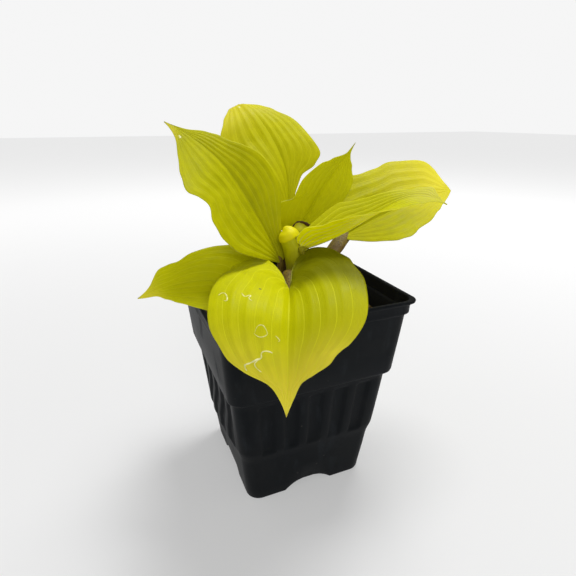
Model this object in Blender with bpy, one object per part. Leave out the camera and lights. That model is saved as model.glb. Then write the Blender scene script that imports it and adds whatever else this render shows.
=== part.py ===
"""A hosta with chartreuse, heart-shaped leaves growing in a square black nursery pot.

The frame has its origin at the middle of the pot's bottom, with +Z up and the broad
front of the pot towards -Y. Lengths are written in millimetres and scaled by MM.
"""

import math

import bmesh
import bpy
import numpy as np

MM = 0.001

# Square pot
POT_HEIGHT = 124.0
LIP_HALF = 57.0
LIP_DEPTH = 2.0
BAND_HALF = 55.3
BAND_BOTTOM = 115.4
UPPER_TOP_HALF = 53.8
UPPER_BOTTOM_HALF = 50.3
LEDGE_HEIGHT = 77.2
LOWER_TOP_HALF = 47.6
FLUTE_TOP = 72.0
FLUTE_BOTTOM = 38.8
FLUTE_BOTTOM_HALF = 43.8
FLUTE_DEPTH = 0.9
FLUTE_COUNT = 5
FOOT_TOP_HALF = 42.6
FOOT_HALF = 38.3
CORNER_RADIUS = 8.0
CORNER_STEPS = 3
WALL = 1.1
ARCH_RISE = 6.0
ARCH_HALF_WIDTH = 13.0
FLOOR_UNDERSIDE = 7.5
FLOOR_THICKNESS = 1.4
PAD_RADIUS = 9.0
DRAIN_RADIUS = 4.5
DRAIN_OFFSET = 22.0

# Growing medium
MIX_STEPS = 48
MIX_TOP = 103.5
MIX_MOUND = 2.0
MIX_ROUGHNESS = 0.7
GAP = 0.3

# Crown of the plant
CROWN_CENTRE = (2.0, -3.0)
CROWN_RADIUS = 13.6
CROWN_TOP = 106.4
CROWN_FOOT = 58.0
ROOT_COUNT = 7

# Leaves
BLADE_THICKNESS = 0.8
BLADE_ROWS = 13
BLADE_COLUMNS = 13
BASE_HALF_WIDTH = 2.0
TIP_HALF_WIDTH = 0.3
STALK_FOOT_RADIUS = 2.3
STALK_TOP_RADIUS = 1.7
STALK_SIDES = 10
STALK_RINGS = 9
FURL_SIDES = 16


def clear_scene():
    """Remove every object of the starting scene."""
    for item in list(bpy.data.objects):
        bpy.data.objects.remove(item, do_unlink=True)


def make_material(name, colour, roughness):
    """Return a plain material for one node."""
    material = bpy.data.materials.new(name)
    material.use_nodes = True
    shader = material.node_tree.nodes["Principled BSDF"]
    shader.inputs["Base Color"].default_value = (*colour, 1.0)
    shader.inputs["Roughness"].default_value = roughness
    shader.inputs["Metallic"].default_value = 0.0
    material.diffuse_color = (*colour, 1.0)
    return material


def make_object(name, vertices, faces, colour, roughness, smooth=True):
    """Make a named mesh object from millimetre vertices and face index lists."""
    mesh = bpy.data.meshes.new(name)
    mesh.from_pydata([tuple(c * MM for c in v) for v in vertices], [], faces)
    mesh.validate()
    work = bmesh.new()
    work.from_mesh(mesh)
    bmesh.ops.recalc_face_normals(work, faces=work.faces)
    work.to_mesh(mesh)
    work.free()
    mesh.materials.append(make_material(name, colour, roughness))
    for polygon in mesh.polygons:
        polygon.use_smooth = smooth
    item = bpy.data.objects.new(name, mesh)
    bpy.context.scene.collection.objects.link(item)
    return item


def loft(rings, close_start=True, close_end=True):
    """Skin a list of equal closed rings and cap the ends; return vertices and faces."""
    count = len(rings[0])
    vertices = [tuple(p) for ring in rings for p in ring]
    faces = []
    for row in range(len(rings) - 1):
        for i in range(count):
            j = (i + 1) % count
            a = row * count
            b = a + count
            faces.append((a + i, a + j, b + j, b + i))
    if close_start:
        faces.append(tuple(range(count)))
    if close_end:
        last = (len(rings) - 1) * count
        faces.append(tuple(last + i for i in range(count)))
    return vertices, faces


def spline(points, parameters):
    """Sample a smooth curve through control points at parameters from 0 to 1."""
    p = np.asarray(points, float)
    steps = np.sqrt(np.linalg.norm(np.diff(p, axis=0), axis=1))
    knots = np.concatenate([[0.0], np.cumsum(steps)]) / steps.sum()
    slopes = np.gradient(p, knots, axis=0, edge_order=2 if len(p) > 2 else 1)
    t = np.clip(np.atleast_1d(np.asarray(parameters, float)), 0.0, 1.0)
    i = np.clip(np.searchsorted(knots, t, side="right") - 1, 0, len(p) - 2)
    h = (knots[i + 1] - knots[i])[:, None]
    x = (t - knots[i])[:, None] / h
    start = (1 + 2 * x) * (1 - x) ** 2 * p[i] + x * (1 - x) ** 2 * h * slopes[i]
    finish = x ** 2 * (3 - 2 * x) * p[i + 1] + x ** 2 * (x - 1) * h * slopes[i + 1]
    return start + finish


def unit(vectors):
    """Return vectors scaled to length one."""
    return vectors / np.linalg.norm(vectors, axis=-1, keepdims=True)


# ---------------------------------------------------------------- pot


def side_marks():
    """Return positions along a pot side, from -1 to 1, and the flute depth share there."""
    marks = [(-1.0, 0.0)]
    pitch = 2.0 / (FLUTE_COUNT + 0.6)
    for k in range(FLUTE_COUNT):
        centre = (k - (FLUTE_COUNT - 1) / 2) * pitch
        for step, share in ((-0.30, 0.0), (-0.20, 1.0), (0.20, 1.0), (0.30, 0.0)):
            marks.append((centre + step * pitch, share))
    marks.append((1.0, 0.0))
    return marks


def pot_ring(half, height, radius=CORNER_RADIUS, flute=0.0, arch=0.0):
    """Return one rounded-square ring with inward flutes and a bottom arch in each side."""
    ring = []
    flat = half - radius
    for side in range(4):
        turn = side * math.pi / 2
        cosine, sine = math.cos(turn), math.sin(turn)
        points = []
        for mark, share in side_marks():
            along = mark * flat
            rise = arch * max(0.0, 1.0 - (along / ARCH_HALF_WIDTH) ** 4)
            points.append((along, -half + flute * share, height + rise))
        for k in range(1, CORNER_STEPS):
            a = -math.pi / 2 + k * math.pi / 2 / CORNER_STEPS
            points.append((flat + radius * math.cos(a), -flat + radius * math.sin(a), height))
        ring += [(x * cosine - y * sine, x * sine + y * cosine, z) for x, y, z in points]
    return ring


def wall_half(height):
    """Return the outer half-width of the plain pot wall at a height."""
    heights = (0.0, FLUTE_BOTTOM - 1.5, FLUTE_BOTTOM, LEDGE_HEIGHT - 1.5, LEDGE_HEIGHT, BAND_BOTTOM)
    halves = (FOOT_HALF, FOOT_TOP_HALF, FLUTE_BOTTOM_HALF, LOWER_TOP_HALF, UPPER_BOTTOM_HALF,
              UPPER_TOP_HALF)
    return float(np.interp(height, heights, halves))


def build_pot():
    """Build the thin-walled square pot with its lip, ledge, flutes, feet and drain holes."""
    floor_top = FLOOR_UNDERSIDE + FLOOR_THICKNESS
    outer = [
        pot_ring(FOOT_HALF, 0.0, arch=ARCH_RISE),
        pot_ring(wall_half(7.0), 7.0),
        pot_ring(FOOT_TOP_HALF, FLUTE_BOTTOM - 1.5),
        pot_ring(FLUTE_BOTTOM_HALF, FLUTE_BOTTOM),
        pot_ring(FLUTE_BOTTOM_HALF + 0.15, FLUTE_BOTTOM + 1.5, flute=FLUTE_DEPTH),
        pot_ring(wall_half(FLUTE_TOP), FLUTE_TOP, flute=FLUTE_DEPTH),
        pot_ring(wall_half(FLUTE_TOP + 1.5), FLUTE_TOP + 1.5),
        pot_ring(LOWER_TOP_HALF, LEDGE_HEIGHT - 1.5),
        pot_ring(UPPER_BOTTOM_HALF, LEDGE_HEIGHT),
        pot_ring(UPPER_TOP_HALF, BAND_BOTTOM),
        pot_ring(BAND_HALF, BAND_BOTTOM + 0.6),
        pot_ring(BAND_HALF + 0.2, POT_HEIGHT - LIP_DEPTH),
        pot_ring(LIP_HALF, POT_HEIGHT - LIP_DEPTH + 0.3, radius=6.0),
        pot_ring(LIP_HALF, POT_HEIGHT - 0.4, radius=6.0),
        pot_ring(LIP_HALF - 0.4, POT_HEIGHT, radius=6.0),
    ]
    inner = [
        pot_ring(BAND_HALF - WALL + 0.4, POT_HEIGHT),
        pot_ring(BAND_HALF - WALL, POT_HEIGHT - LIP_DEPTH),
        pot_ring(BAND_HALF - WALL - 0.1, BAND_BOTTOM + 1.2),
        pot_ring(UPPER_TOP_HALF - WALL, BAND_BOTTOM + 0.4),
        pot_ring(UPPER_BOTTOM_HALF - WALL, LEDGE_HEIGHT + 1.0),
        pot_ring(LOWER_TOP_HALF - WALL, LEDGE_HEIGHT - 0.8),
        pot_ring(wall_half(FLUTE_TOP) - WALL, FLUTE_TOP, flute=FLUTE_DEPTH),
        pot_ring(FLUTE_BOTTOM_HALF + 0.15 - WALL, FLUTE_BOTTOM + 1.5, flute=FLUTE_DEPTH),
        pot_ring(FOOT_TOP_HALF - WALL, FLUTE_BOTTOM - 1.5),
        pot_ring(wall_half(floor_top) - WALL, floor_top),
    ]
    skirt = [
        pot_ring(wall_half(FLOOR_UNDERSIDE) - WALL, FLOOR_UNDERSIDE),
        pot_ring(FOOT_HALF - WALL, 0.0, arch=ARCH_RISE),
    ]
    rings = outer + inner
    count = len(rings[0])
    vertices, faces = loft(rings, close_start=False, close_end=True)
    base = len(vertices)
    for ring in skirt:
        vertices += [tuple(p) for p in ring]
    for i in range(count):
        j = (i + 1) % count
        faces.append((base + i, base + j, base + count + j, base + count + i))
        faces.append((base + count + i, base + count + j, j, i))
    faces.append(tuple(base + i for i in range(count)))
    pot = make_object("pot", vertices, faces, (0.012, 0.013, 0.015), 0.42, smooth=False)
    cutters = []
    for sx, sy in ((-1, -1), (1, -1), (1, 1), (-1, 1)):
        centre = (sx * DRAIN_OFFSET, sy * DRAIN_OFFSET)
        cutters.append(make_column("drain", centre, DRAIN_RADIUS, FLOOR_UNDERSIDE - 2, floor_top + 2, 16))
    pad = make_column("pad", (0.0, 0.0), PAD_RADIUS, 0.0, FLOOR_UNDERSIDE + 0.5, 24)
    combine(pot, pad, "UNION")
    for cutter in cutters:
        combine(pot, cutter, "DIFFERENCE")
    return pot


def make_column(name, centre, radius, low, high, sides):
    """Make an upright round column used as a cutter or as a joined pad."""
    rings = []
    for height in (low, high):
        angles = [2 * math.pi * k / sides for k in range(sides)]
        rings.append([(centre[0] + radius * math.cos(a), centre[1] + radius * math.sin(a), height)
                      for a in angles])
    vertices, faces = loft(rings)
    return make_object(name, vertices, faces, (0.012, 0.013, 0.015), 0.42, smooth=False)


def combine(target, tool, operation):
    """Apply an exact Boolean of a tool to a target and remove the tool."""
    modifier = target.modifiers.new(operation.lower(), "BOOLEAN")
    modifier.object = tool
    modifier.operation = operation
    modifier.solver = "EXACT"
    bpy.context.view_layer.update()
    graph = bpy.context.evaluated_depsgraph_get()
    mesh = bpy.data.meshes.new_from_object(target.evaluated_get(graph))
    target.modifiers.clear()
    target.data = mesh
    bpy.data.objects.remove(tool, do_unlink=True)


# ---------------------------------------------------------------- growing medium and crown


def mix_height(x, y):
    """Return the height of the uneven top of the growing medium."""
    spread = math.hypot(x - CROWN_CENTRE[0], y - CROWN_CENTRE[1])
    mound = MIX_MOUND * math.exp(-((spread / 30.0) ** 2))
    waves = math.sin(x * 0.31 + 1.3) * math.cos(y * 0.27 - 0.6) + 0.6 * math.sin(x * 0.11 - y * 0.19)
    return MIX_TOP + mound + MIX_ROUGHNESS * waves


def square_ring(half, height, radius, steps):
    """Return a rounded-square ring sampled evenly by angle about the centre."""
    ring = []
    for k in range(steps):
        angle = 2 * math.pi * k / steps
        c, s = math.cos(angle), math.sin(angle)
        reach = half / max(abs(c), abs(s))
        x, y = reach * c, reach * s
        flat = half - radius
        if abs(x) > flat and abs(y) > flat:
            dx, dy = abs(x) - flat, abs(y) - flat
            shrink = radius / math.hypot(dx, dy)
            x = math.copysign(flat + dx * shrink, x)
            y = math.copysign(flat + dy * shrink, y)
        ring.append((x, y, height))
    return ring


def crown_ring(height, extra, steps):
    """Return a lobed ring of the rootstock, swollen by an extra margin."""
    depth = (CROWN_TOP - height) / (CROWN_TOP - CROWN_FOOT)
    ring = []
    for k in range(steps):
        angle = 2 * math.pi * k / steps
        lobes = math.cos(ROOT_COUNT * angle + 0.4)
        radius = CROWN_RADIUS * (1.0 - 0.52 * depth) * (1.0 + (0.03 + 0.20 * depth) * lobes) + extra
        ring.append((CROWN_CENTRE[0] + radius * math.cos(angle),
                     CROWN_CENTRE[1] + radius * math.sin(angle), height))
    return ring


def build_crown():
    """Build the rootstock: one body with a domed shoulder above and root lobes below."""
    heights = (CROWN_FOOT, CROWN_FOOT + 8, CROWN_FOOT + 20, CROWN_FOOT + 32, CROWN_TOP - 6,
               CROWN_TOP - 1.5)
    rings = [crown_ring(h, 0.0, MIX_STEPS) for h in heights]
    rings.append([(x, y, CROWN_TOP) for x, y, _ in crown_ring(CROWN_TOP, -1.0, MIX_STEPS)])
    vertices, faces = loft(rings)
    return make_object("crown", vertices, faces, (0.16, 0.09, 0.03), 0.8)


def build_mix():
    """Build the growing medium with an uneven top and a pocket that holds the rootstock."""
    floor_top = FLOOR_UNDERSIDE + FLOOR_THICKNESS
    reach = GAP + 0.5
    sizes = (
        (floor_top + GAP, wall_half(floor_top) - WALL - reach),
        (FLUTE_BOTTOM - 1.5, FOOT_TOP_HALF - WALL - FLUTE_DEPTH - reach),
        (FLUTE_TOP, wall_half(FLUTE_TOP) - WALL - FLUTE_DEPTH - reach),
        (LEDGE_HEIGHT - 1.0, LOWER_TOP_HALF - WALL - reach),
        (LEDGE_HEIGHT + 1.6, UPPER_BOTTOM_HALF - WALL - reach),
        (MIX_TOP - 3.0, wall_half(MIX_TOP - 3.0) - WALL - reach),
    )
    rings = [square_ring(half, height, CORNER_RADIUS, MIX_STEPS) for height, half in sizes]
    rim = square_ring(wall_half(MIX_TOP - 3.0) - WALL - reach, 0.0, CORNER_RADIUS, MIX_STEPS)
    mouth = crown_ring(CROWN_TOP, GAP + 0.4, MIX_STEPS)
    for share in (0.0, 0.18, 0.42, 0.7, 1.0):
        ring = []
        for a, b in zip(rim, mouth):
            x = a[0] + (b[0] - a[0]) * share
            y = a[1] + (b[1] - a[1]) * share
            ring.append((x, y, mix_height(x, y)))
        rings.append(ring)
    for height in (CROWN_TOP - 6, CROWN_FOOT + 32, CROWN_FOOT + 20, CROWN_FOOT + 8, CROWN_FOOT):
        rings.append(crown_ring(height, GAP + 0.4, MIX_STEPS))
    rings[-1] = [(x, y, CROWN_FOOT - GAP) for x, y, _ in rings[-1]]
    vertices, faces = loft(rings)
    return make_object("potting_mix", vertices, faces, (0.05, 0.03, 0.015), 0.95)


BARK_CHIPS = (
    (31.0, -22.0, 5.0, 3.2, 1.6, 25.0),
    (38.0, -6.0, 4.2, 2.8, 1.4, 80.0),
    (27.0, 14.0, 5.6, 3.0, 1.8, 140.0),
    (40.0, -36.0, 3.8, 2.6, 1.3, 10.0),
    (-40.0, 18.0, 4.6, 3.2, 1.5, 60.0),
    (-30.0, -38.0, 5.2, 3.0, 1.6, 110.0),
)


def mix_surface(mix, x, y):
    """Return the height of the growing medium's top straight below a point."""
    hit, point, _, _ = mix.ray_cast((x * MM, y * MM, POT_HEIGHT * MM), (0.0, 0.0, -1.0))
    return point.z / MM if hit else MIX_TOP


def build_chips(mix):
    """Lay flat chips of bark on top of the growing medium."""
    bpy.context.view_layer.update()
    for number, (x, y, length, width, thick, turn) in enumerate(BARK_CHIPS, start=1):
        angle = math.radians(turn)
        outline = []
        for k in range(7):
            a = 2 * math.pi * k / 7
            swell = 1.0 + 0.18 * math.sin(3 * a + number)
            px, py = length * swell * math.cos(a), width * swell * math.sin(a)
            outline.append((x + px * math.cos(angle) - py * math.sin(angle),
                            y + px * math.sin(angle) + py * math.cos(angle)))
        rest = max(mix_surface(mix, x + (px - x) * s, y + (py - y) * s)
                   for px, py in outline for s in (0.0, 0.25, 0.5, 0.75, 1.0)) + GAP
        rings = [[(px, py, rest) for px, py in outline],
                 [(x + (px - x) * 0.86, y + (py - y) * 0.86, rest + thick) for px, py in outline]]
        vertices, faces = loft(rings)
        make_object(f"bark_chip_{number}", vertices, faces, (0.14, 0.07, 0.03), 0.9, smooth=False)


# ---------------------------------------------------------------- leaves


class Leaf:
    """One leaf: its midrib, facing, margins, fold and stalk, all in millimetres."""

    def __init__(self, name, rib, face, left, right, fold, curl, stalk):
        """Store the leaf's curves; fold and curl hold (left, right) pairs of base and tip."""
        self.name = name
        self.rib = np.asarray(rib, float)
        self.face = np.asarray(face, float)
        self.left = left
        self.right = right
        self.fold = fold
        self.curl = curl
        self.stalk = stalk

    def surface(self, rows, columns):
        """Return a grid of points over the blade, base to tip and left to right."""
        steps = np.linspace(0.0, 1.0, 161)
        line = spline(self.rib, steps)
        runs = np.concatenate([[0.0], np.cumsum(np.linalg.norm(np.diff(line, axis=0), axis=1))])
        length = runs[-1]
        u, v = np.meshgrid(np.linspace(0, 1, rows), np.linspace(-1, 1, columns), indexing="ij")
        u, v = u.ravel(), v.ravel()
        start, finish = [(BASE_HALF_WIDTH, 0.0)], [(TIP_HALF_WIDTH, length)]
        left = spline(start + list(self.left) + finish, u)
        right = spline(start + list(self.right) + finish, u)
        is_left = v < 0
        edge = np.where(is_left[:, None], left, right)
        across = edge[:, 0] * np.abs(v)
        along = length * u * (1 - np.abs(v)) + edge[:, 1] * np.abs(v)
        where = np.interp(np.clip(along, 0, length), runs, steps)
        centre = spline(self.rib, where)
        ahead = unit(spline(self.rib, where + 0.01) - spline(self.rib, where - 0.01))
        share = np.clip(along / length, 0, 1)
        side = unit(np.cross(ahead, spline(self.face, share)))
        normal = np.cross(side, ahead)
        centre = centre + ahead * np.minimum(along, 0.0)[:, None]
        fold = np.where(is_left, self.blend(self.fold[0], share), self.blend(self.fold[1], share))
        curl = np.where(is_left, self.blend(self.curl[0], share), self.blend(self.curl[1], share))
        fold, curl = np.radians(fold), np.radians(curl) / 10.0
        curl = np.where(np.abs(curl) < 1e-6, 1e-6, curl)
        out = (np.sin(fold + curl * across) - np.sin(fold)) / curl
        lift = (np.cos(fold) - np.cos(fold + curl * across)) / curl
        out = np.where(is_left, -out, out)
        points = centre + side * out[:, None] + normal * lift[:, None]
        return points.reshape(rows, columns, 3)

    @staticmethod
    def blend(ends, share):
        """Return a value running from the base's to the tip's along the blade."""
        return ends[0] + (ends[1] - ends[0]) * share

    def build_blade(self):
        """Build the thin closed blade."""
        middle = self.surface(BLADE_ROWS, BLADE_COLUMNS)
        down = np.gradient(middle, axis=0)
        over = np.gradient(middle, axis=1)
        normal = unit(np.cross(down, over))
        top = middle + normal * BLADE_THICKNESS / 2
        bottom = middle - normal * BLADE_THICKNESS / 2
        count = BLADE_ROWS * BLADE_COLUMNS
        vertices = [tuple(p) for p in top.reshape(-1, 3)] + [tuple(p) for p in bottom.reshape(-1, 3)]
        index = np.arange(count).reshape(BLADE_ROWS, BLADE_COLUMNS)
        faces = []
        for i in range(BLADE_ROWS - 1):
            for j in range(BLADE_COLUMNS - 1):
                a, b = int(index[i, j]), int(index[i + 1, j])
                c, d = int(index[i + 1, j + 1]), int(index[i, j + 1])
                faces += [(a, b, c), (a, c, d)]
                faces += [(count + c, count + b, count + a), (count + d, count + c, count + a)]
        loop = list(index[0, :]) + list(index[1:, -1]) + list(index[-1, -2::-1]) + list(index[-2:0:-1, 0])
        loop = [int(k) for k in loop]
        for a, b in zip(loop, loop[1:] + loop[:1]):
            faces += [(a, b, count + b), (a, count + b, count + a)]
        return make_object(f"leaf_{self.name}", vertices, faces, (0.42, 0.43, 0.01), 0.45)

    def build_stalk(self):
        """Build the stalk from just above the crown to just below the blade's base."""
        path = spline(self.stalk, np.linspace(0, 1, STALK_RINGS))
        rings = tube_rings(path, np.linspace(STALK_FOOT_RADIUS, STALK_TOP_RADIUS, STALK_RINGS),
                           STALK_SIDES)
        rings[0] = [(p[0], p[1], self.stalk[0][2]) for p in rings[0]]
        vertices, faces = loft(rings)
        return make_object(f"petiole_{self.name}", vertices, faces, (0.22, 0.20, 0.03), 0.5)


def tube_rings(path, radii, sides):
    """Return rings of a round tube along a path."""
    tangents = unit(np.gradient(path, axis=0))
    guide = np.array([1.0, 0.0, 0.0])
    rings = []
    for centre, tangent, radius in zip(path, tangents, radii):
        across = guide - tangent * guide.dot(tangent)
        across /= np.linalg.norm(across)
        upward = np.cross(tangent, across)
        angles = np.arange(sides) * 2 * math.pi / sides
        rings.append([tuple(centre + radius * (math.cos(a) * across + math.sin(a) * upward))
                      for a in angles])
    return rings


LEAVES = (
    Leaf("front",
         rib=[(-11, -33, 133), (-22, -59, 131), (-28, -72, 121), (-31, -79, 108), (-33, -82, 91)],
         face=[(-0.3, -0.35, 0.9), (-0.35, -0.8, 0.45)],
         left=[(4, -6), (9, -12), (20, -17), (31, -11), (37, 4), (40, 19), (38, 34), (29, 45),
               (16, 54), (6, 61), (3, 68)],
         right=[(4, -6), (10, -13), (20, -18), (32, -15), (40, 0), (43, 16), (41, 32), (34, 44),
                (21, 54), (7, 62), (3, 69)],
         fold=((30, 0), (46, 0)), curl=((-10, -2), (-14, -2)),
         stalk=[(-2, -13, 106.7), (-4, -15, 126), (-7, -22, 137), (-10.2, -30.8, 134.4)]),
    Leaf("low_left",
         rib=[(-35, -14, 131.5), (-49, -12, 135.5), (-65, -10, 135), (-86, -8, 129)],
         face=[(-0.1, -0.5, 0.85), (-0.2, -0.5, 0.85)],
         left=[(6, -4), (15, 0), (19, 9), (20, 17), (18, 26), (13, 36), (5, 44), (2, 50)],
         right=[(5, -1), (14, 4), (20, 11), (18, 21), (13, 30), (12, 38), (5, 47)],
         fold=((2, 5), (14, 5)), curl=((0, 0), (0, 0)),
         stalk=[(-7, -9, 106.7), (-14, -10.5, 120), (-23, -13, 128), (-33.8, -14, 130.8)]),
    Leaf("left",
         rib=[(-3, -1, 137.3), (-15, 4, 164), (-32, 12, 193), (-47, 18, 207), (-60, 22, 215)],
         face=[(0.3, -0.85, 0.45), (0.3, -0.8, 0.5)],
         left=[(9, 4), (23, 13), (35, 25), (36, 37), (32, 50), (30, 62), (26, 74), (16, 84), (6, 93)],
         right=[(4, 3), (8, 12), (14, 25), (17, 40), (17, 55), (12, 68), (6, 80), (2, 91)],
         fold=((22, 5), (25, 5)), curl=((0, 0), (0, 0)),
         stalk=[(-4.5, 0.5, 106.7), (-4.6, 0, 122), (-3.2, -0.9, 136)]),
    Leaf("back",
         rib=[(11, 22, 161), (15, 33, 183), (11, 47, 204), (2, 62, 222), (-2, 76, 225), (0, 88, 214)],
         face=[(0, -0.9, 0.4), (0, -0.6, 0.8), (0, -0.1, 1)],
         left=[(6, 4), (12, 12), (20, 24), (28, 36), (34, 46), (36, 56), (31, 66), (20, 78), (8, 91)],
         right=[(5, 4), (6, 12), (10, 20), (18, 28), (25, 37), (24, 47), (21, 58), (16, 68), (11, 80),
                (5, 94)],
         fold=((20, -25), (20, -15)), curl=((0, 0), (0, 0)),
         stalk=[(0, 6, 106.7), (4, 13, 135), (10.7, 21.3, 160)]),
    Leaf("centre",
         rib=[(14.5, 10.5, 154.5), (22, 8.4, 168), (31.5, 8, 182), (41, 8, 193), (48, 8, 201)],
         face=[(-0.2, -0.9, 0.3), (-0.3, -0.8, 0.5)],
         left=[(12, -3), (13, 5), (11, 14), (10, 24), (8, 32), (6, 40), (3, 47), (1.5, 53)],
         right=[(8, 0), (12, 8), (15, 18), (16, 28), (13, 40), (7, 48), (3, 53)],
         fold=((25, 5), (25, 5)), curl=((0, 0), (0, 0)),
         stalk=[(6, 5, 106.7), (10.5, 8.5, 132), (14.2, 10.7, 153.4)]),
    Leaf("right_rear",
         rib=[(45, 7, 147), (70, 6, 157), (97, 4, 166), (122, 2, 171)],
         face=[(-0.2, -0.4, 0.9), (0, -0.4, 0.9)],
         left=[(8, -6), (20, -6), (27, 4), (29, 18), (31, 33), (36, 48), (38, 60), (36, 72), (27, 78),
               (10, 81)],
         right=[(7, -2), (15, 3), (22, 10), (26, 22), (28, 38), (26, 50), (17, 64), (5, 75)],
         fold=((22, 10), (12, 5)), curl=((0, 0), (0, 0)),
         stalk=[(11, -6, 106.7), (16, -6, 122), (24, -5, 133), (34, 0, 141), (43.6, 6.6, 146)]),
    Leaf("right",
         rib=[(10, -16, 149), (26, -20, 156), (45, -24, 166), (66, -29, 175), (84, -38, 171)],
         face=[(-0.2, -0.1, 0.95), (-0.2, -0.12, 0.95)],
         left=[(5, 0), (10, 4), (14, 14), (15, 28), (13, 42), (8, 56), (9, 66), (6, 76)],
         right=[(5, 0), (12, 4), (17, 14), (19, 28), (18, 42), (14, 58), (8, 70), (3, 78)],
         fold=((45, 20), (75, -20)), curl=((0, 0), (0, 0)),
         stalk=[(7, -12, 106.7), (8, -14, 130), (9.6, -16, 148)]),
)

FURLED = (
    ("leaf_young", [(3.2, -5.0, 106.7), (2.6, -6.2, 122), (2.2, -7.0, 136), (2.0, -6.6, 146),
                    (0.8, -5.4, 152.5), (-1.0, -4.6, 157), (-2.2, -4.4, 158.5)],
     (2.4, 3.6, 5.3, 5.8, 6.0, 3.6, 0.5)),
    ("leaf_bud", [(8.3, -0.5, 106.7), (9.5, 1.2, 128), (10.6, 3.2, 144), (11.1, 4.3, 153),
                  (11.0, 4.4, 157.5), (10.8, 4.4, 159.5)],
     (1.6, 2.0, 2.9, 3.5, 2.4, 0.4)),
)


def build_furled():
    """Build the leaves that are still rolled up in the heart of the plant."""
    for name, path, radii in FURLED:
        rings = tube_rings(np.asarray(path, float), radii, FURL_SIDES)
        rings[0] = [(p[0], p[1], path[0][2]) for p in rings[0]]
        vertices, faces = loft(rings)
        make_object(name, vertices, faces, (0.50, 0.50, 0.02), 0.45)


def main():
    """Build every piece of the potted plant."""
    clear_scene()
    build_pot()
    mix = build_mix()
    build_crown()
    build_chips(mix)
    for leaf in LEAVES:
        leaf.build_blade()
        leaf.build_stalk()
    build_furled()


main()
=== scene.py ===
"""Looks of a potted hosta: chartreuse leaves, stalks, rootstock, bark mix and a square black pot.

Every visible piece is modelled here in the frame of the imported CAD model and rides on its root
body. Lengths in the tables are millimetres from the middle of the pot's bottom.
"""

from __future__ import annotations

import logging
import math
from dataclasses import dataclass, field
from enum import Enum
from typing import Sequence

import bpy
import numpy as np
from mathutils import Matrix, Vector

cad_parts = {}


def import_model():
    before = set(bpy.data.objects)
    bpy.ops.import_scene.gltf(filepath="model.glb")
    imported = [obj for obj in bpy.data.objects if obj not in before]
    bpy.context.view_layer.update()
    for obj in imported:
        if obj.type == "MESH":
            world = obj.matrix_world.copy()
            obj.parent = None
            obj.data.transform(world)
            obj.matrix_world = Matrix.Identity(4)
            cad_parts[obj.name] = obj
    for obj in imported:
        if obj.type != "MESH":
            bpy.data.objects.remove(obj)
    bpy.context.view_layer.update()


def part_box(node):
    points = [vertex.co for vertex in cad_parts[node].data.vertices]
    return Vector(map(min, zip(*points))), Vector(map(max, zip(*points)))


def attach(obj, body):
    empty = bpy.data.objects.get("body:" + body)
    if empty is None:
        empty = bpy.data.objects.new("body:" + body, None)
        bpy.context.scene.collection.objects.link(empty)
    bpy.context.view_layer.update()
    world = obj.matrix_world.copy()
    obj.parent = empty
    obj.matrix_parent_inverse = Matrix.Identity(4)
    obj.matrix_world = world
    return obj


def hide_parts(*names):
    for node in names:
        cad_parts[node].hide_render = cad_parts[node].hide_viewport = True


LOG = logging.getLogger("potted_hosta")
MM = 0.001
ROOT = "root"

Point = tuple[float, float, float]
Colour = tuple[float, float, float]
Pair = tuple[float, float]

LEAF_BLEED: Colour = (1.0, 0.9, 0.12)


class Slot(Enum):
    """Material slots of the record."""

    BLADE = "leaf_blade"
    STALK = "leaf_stalk"
    ROOTSTOCK = "rootstock"
    MIX = "potting_mix"
    BARK = "bark"
    POT = "pot_plastic"


# ------------------------------------------------------------------------------------ helpers


def spline(points: Sequence[Sequence[float]], parameters: np.ndarray) -> np.ndarray:
    """Sample a smooth curve through control points.

    Args:
        points: Control points, all of one dimension.
        parameters: Positions from 0 to 1 along the curve.

    Returns:
        One row per parameter.
    """
    p = np.asarray(points, float)
    steps = np.sqrt(np.linalg.norm(np.diff(p, axis=0), axis=1))
    knots = np.concatenate([[0.0], np.cumsum(steps)]) / steps.sum()
    slopes = np.gradient(p, knots, axis=0, edge_order=2 if len(p) > 2 else 1)
    t = np.clip(np.atleast_1d(np.asarray(parameters, float)), 0.0, 1.0)
    i = np.clip(np.searchsorted(knots, t, side="right") - 1, 0, len(p) - 2)
    h = (knots[i + 1] - knots[i])[:, None]
    x = (t - knots[i])[:, None] / h
    start = (1 + 2 * x) * (1 - x) ** 2 * p[i] + x * (1 - x) ** 2 * h * slopes[i]
    finish = x**2 * (3 - 2 * x) * p[i + 1] + x**2 * (x - 1) * h * slopes[i + 1]
    return start + finish


def unit(vectors: np.ndarray) -> np.ndarray:
    """Scale vectors to length one.

    Args:
        vectors: Vectors in the last axis.

    Returns:
        Unit vectors of the same shape.
    """
    return vectors / np.maximum(np.linalg.norm(vectors, axis=-1, keepdims=True), 1e-12)


def smooth(value: np.ndarray, low: float, high: float) -> np.ndarray:
    """Ease from 0 to 1 between two limits.

    Args:
        value: Values to ease.
        low: Value at which the result is 0.
        high: Value at which the result is 1.

    Returns:
        The eased values.
    """
    t = np.clip((value - low) / (high - low), 0.0, 1.0)
    return t * t * (3 - 2 * t)


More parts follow.
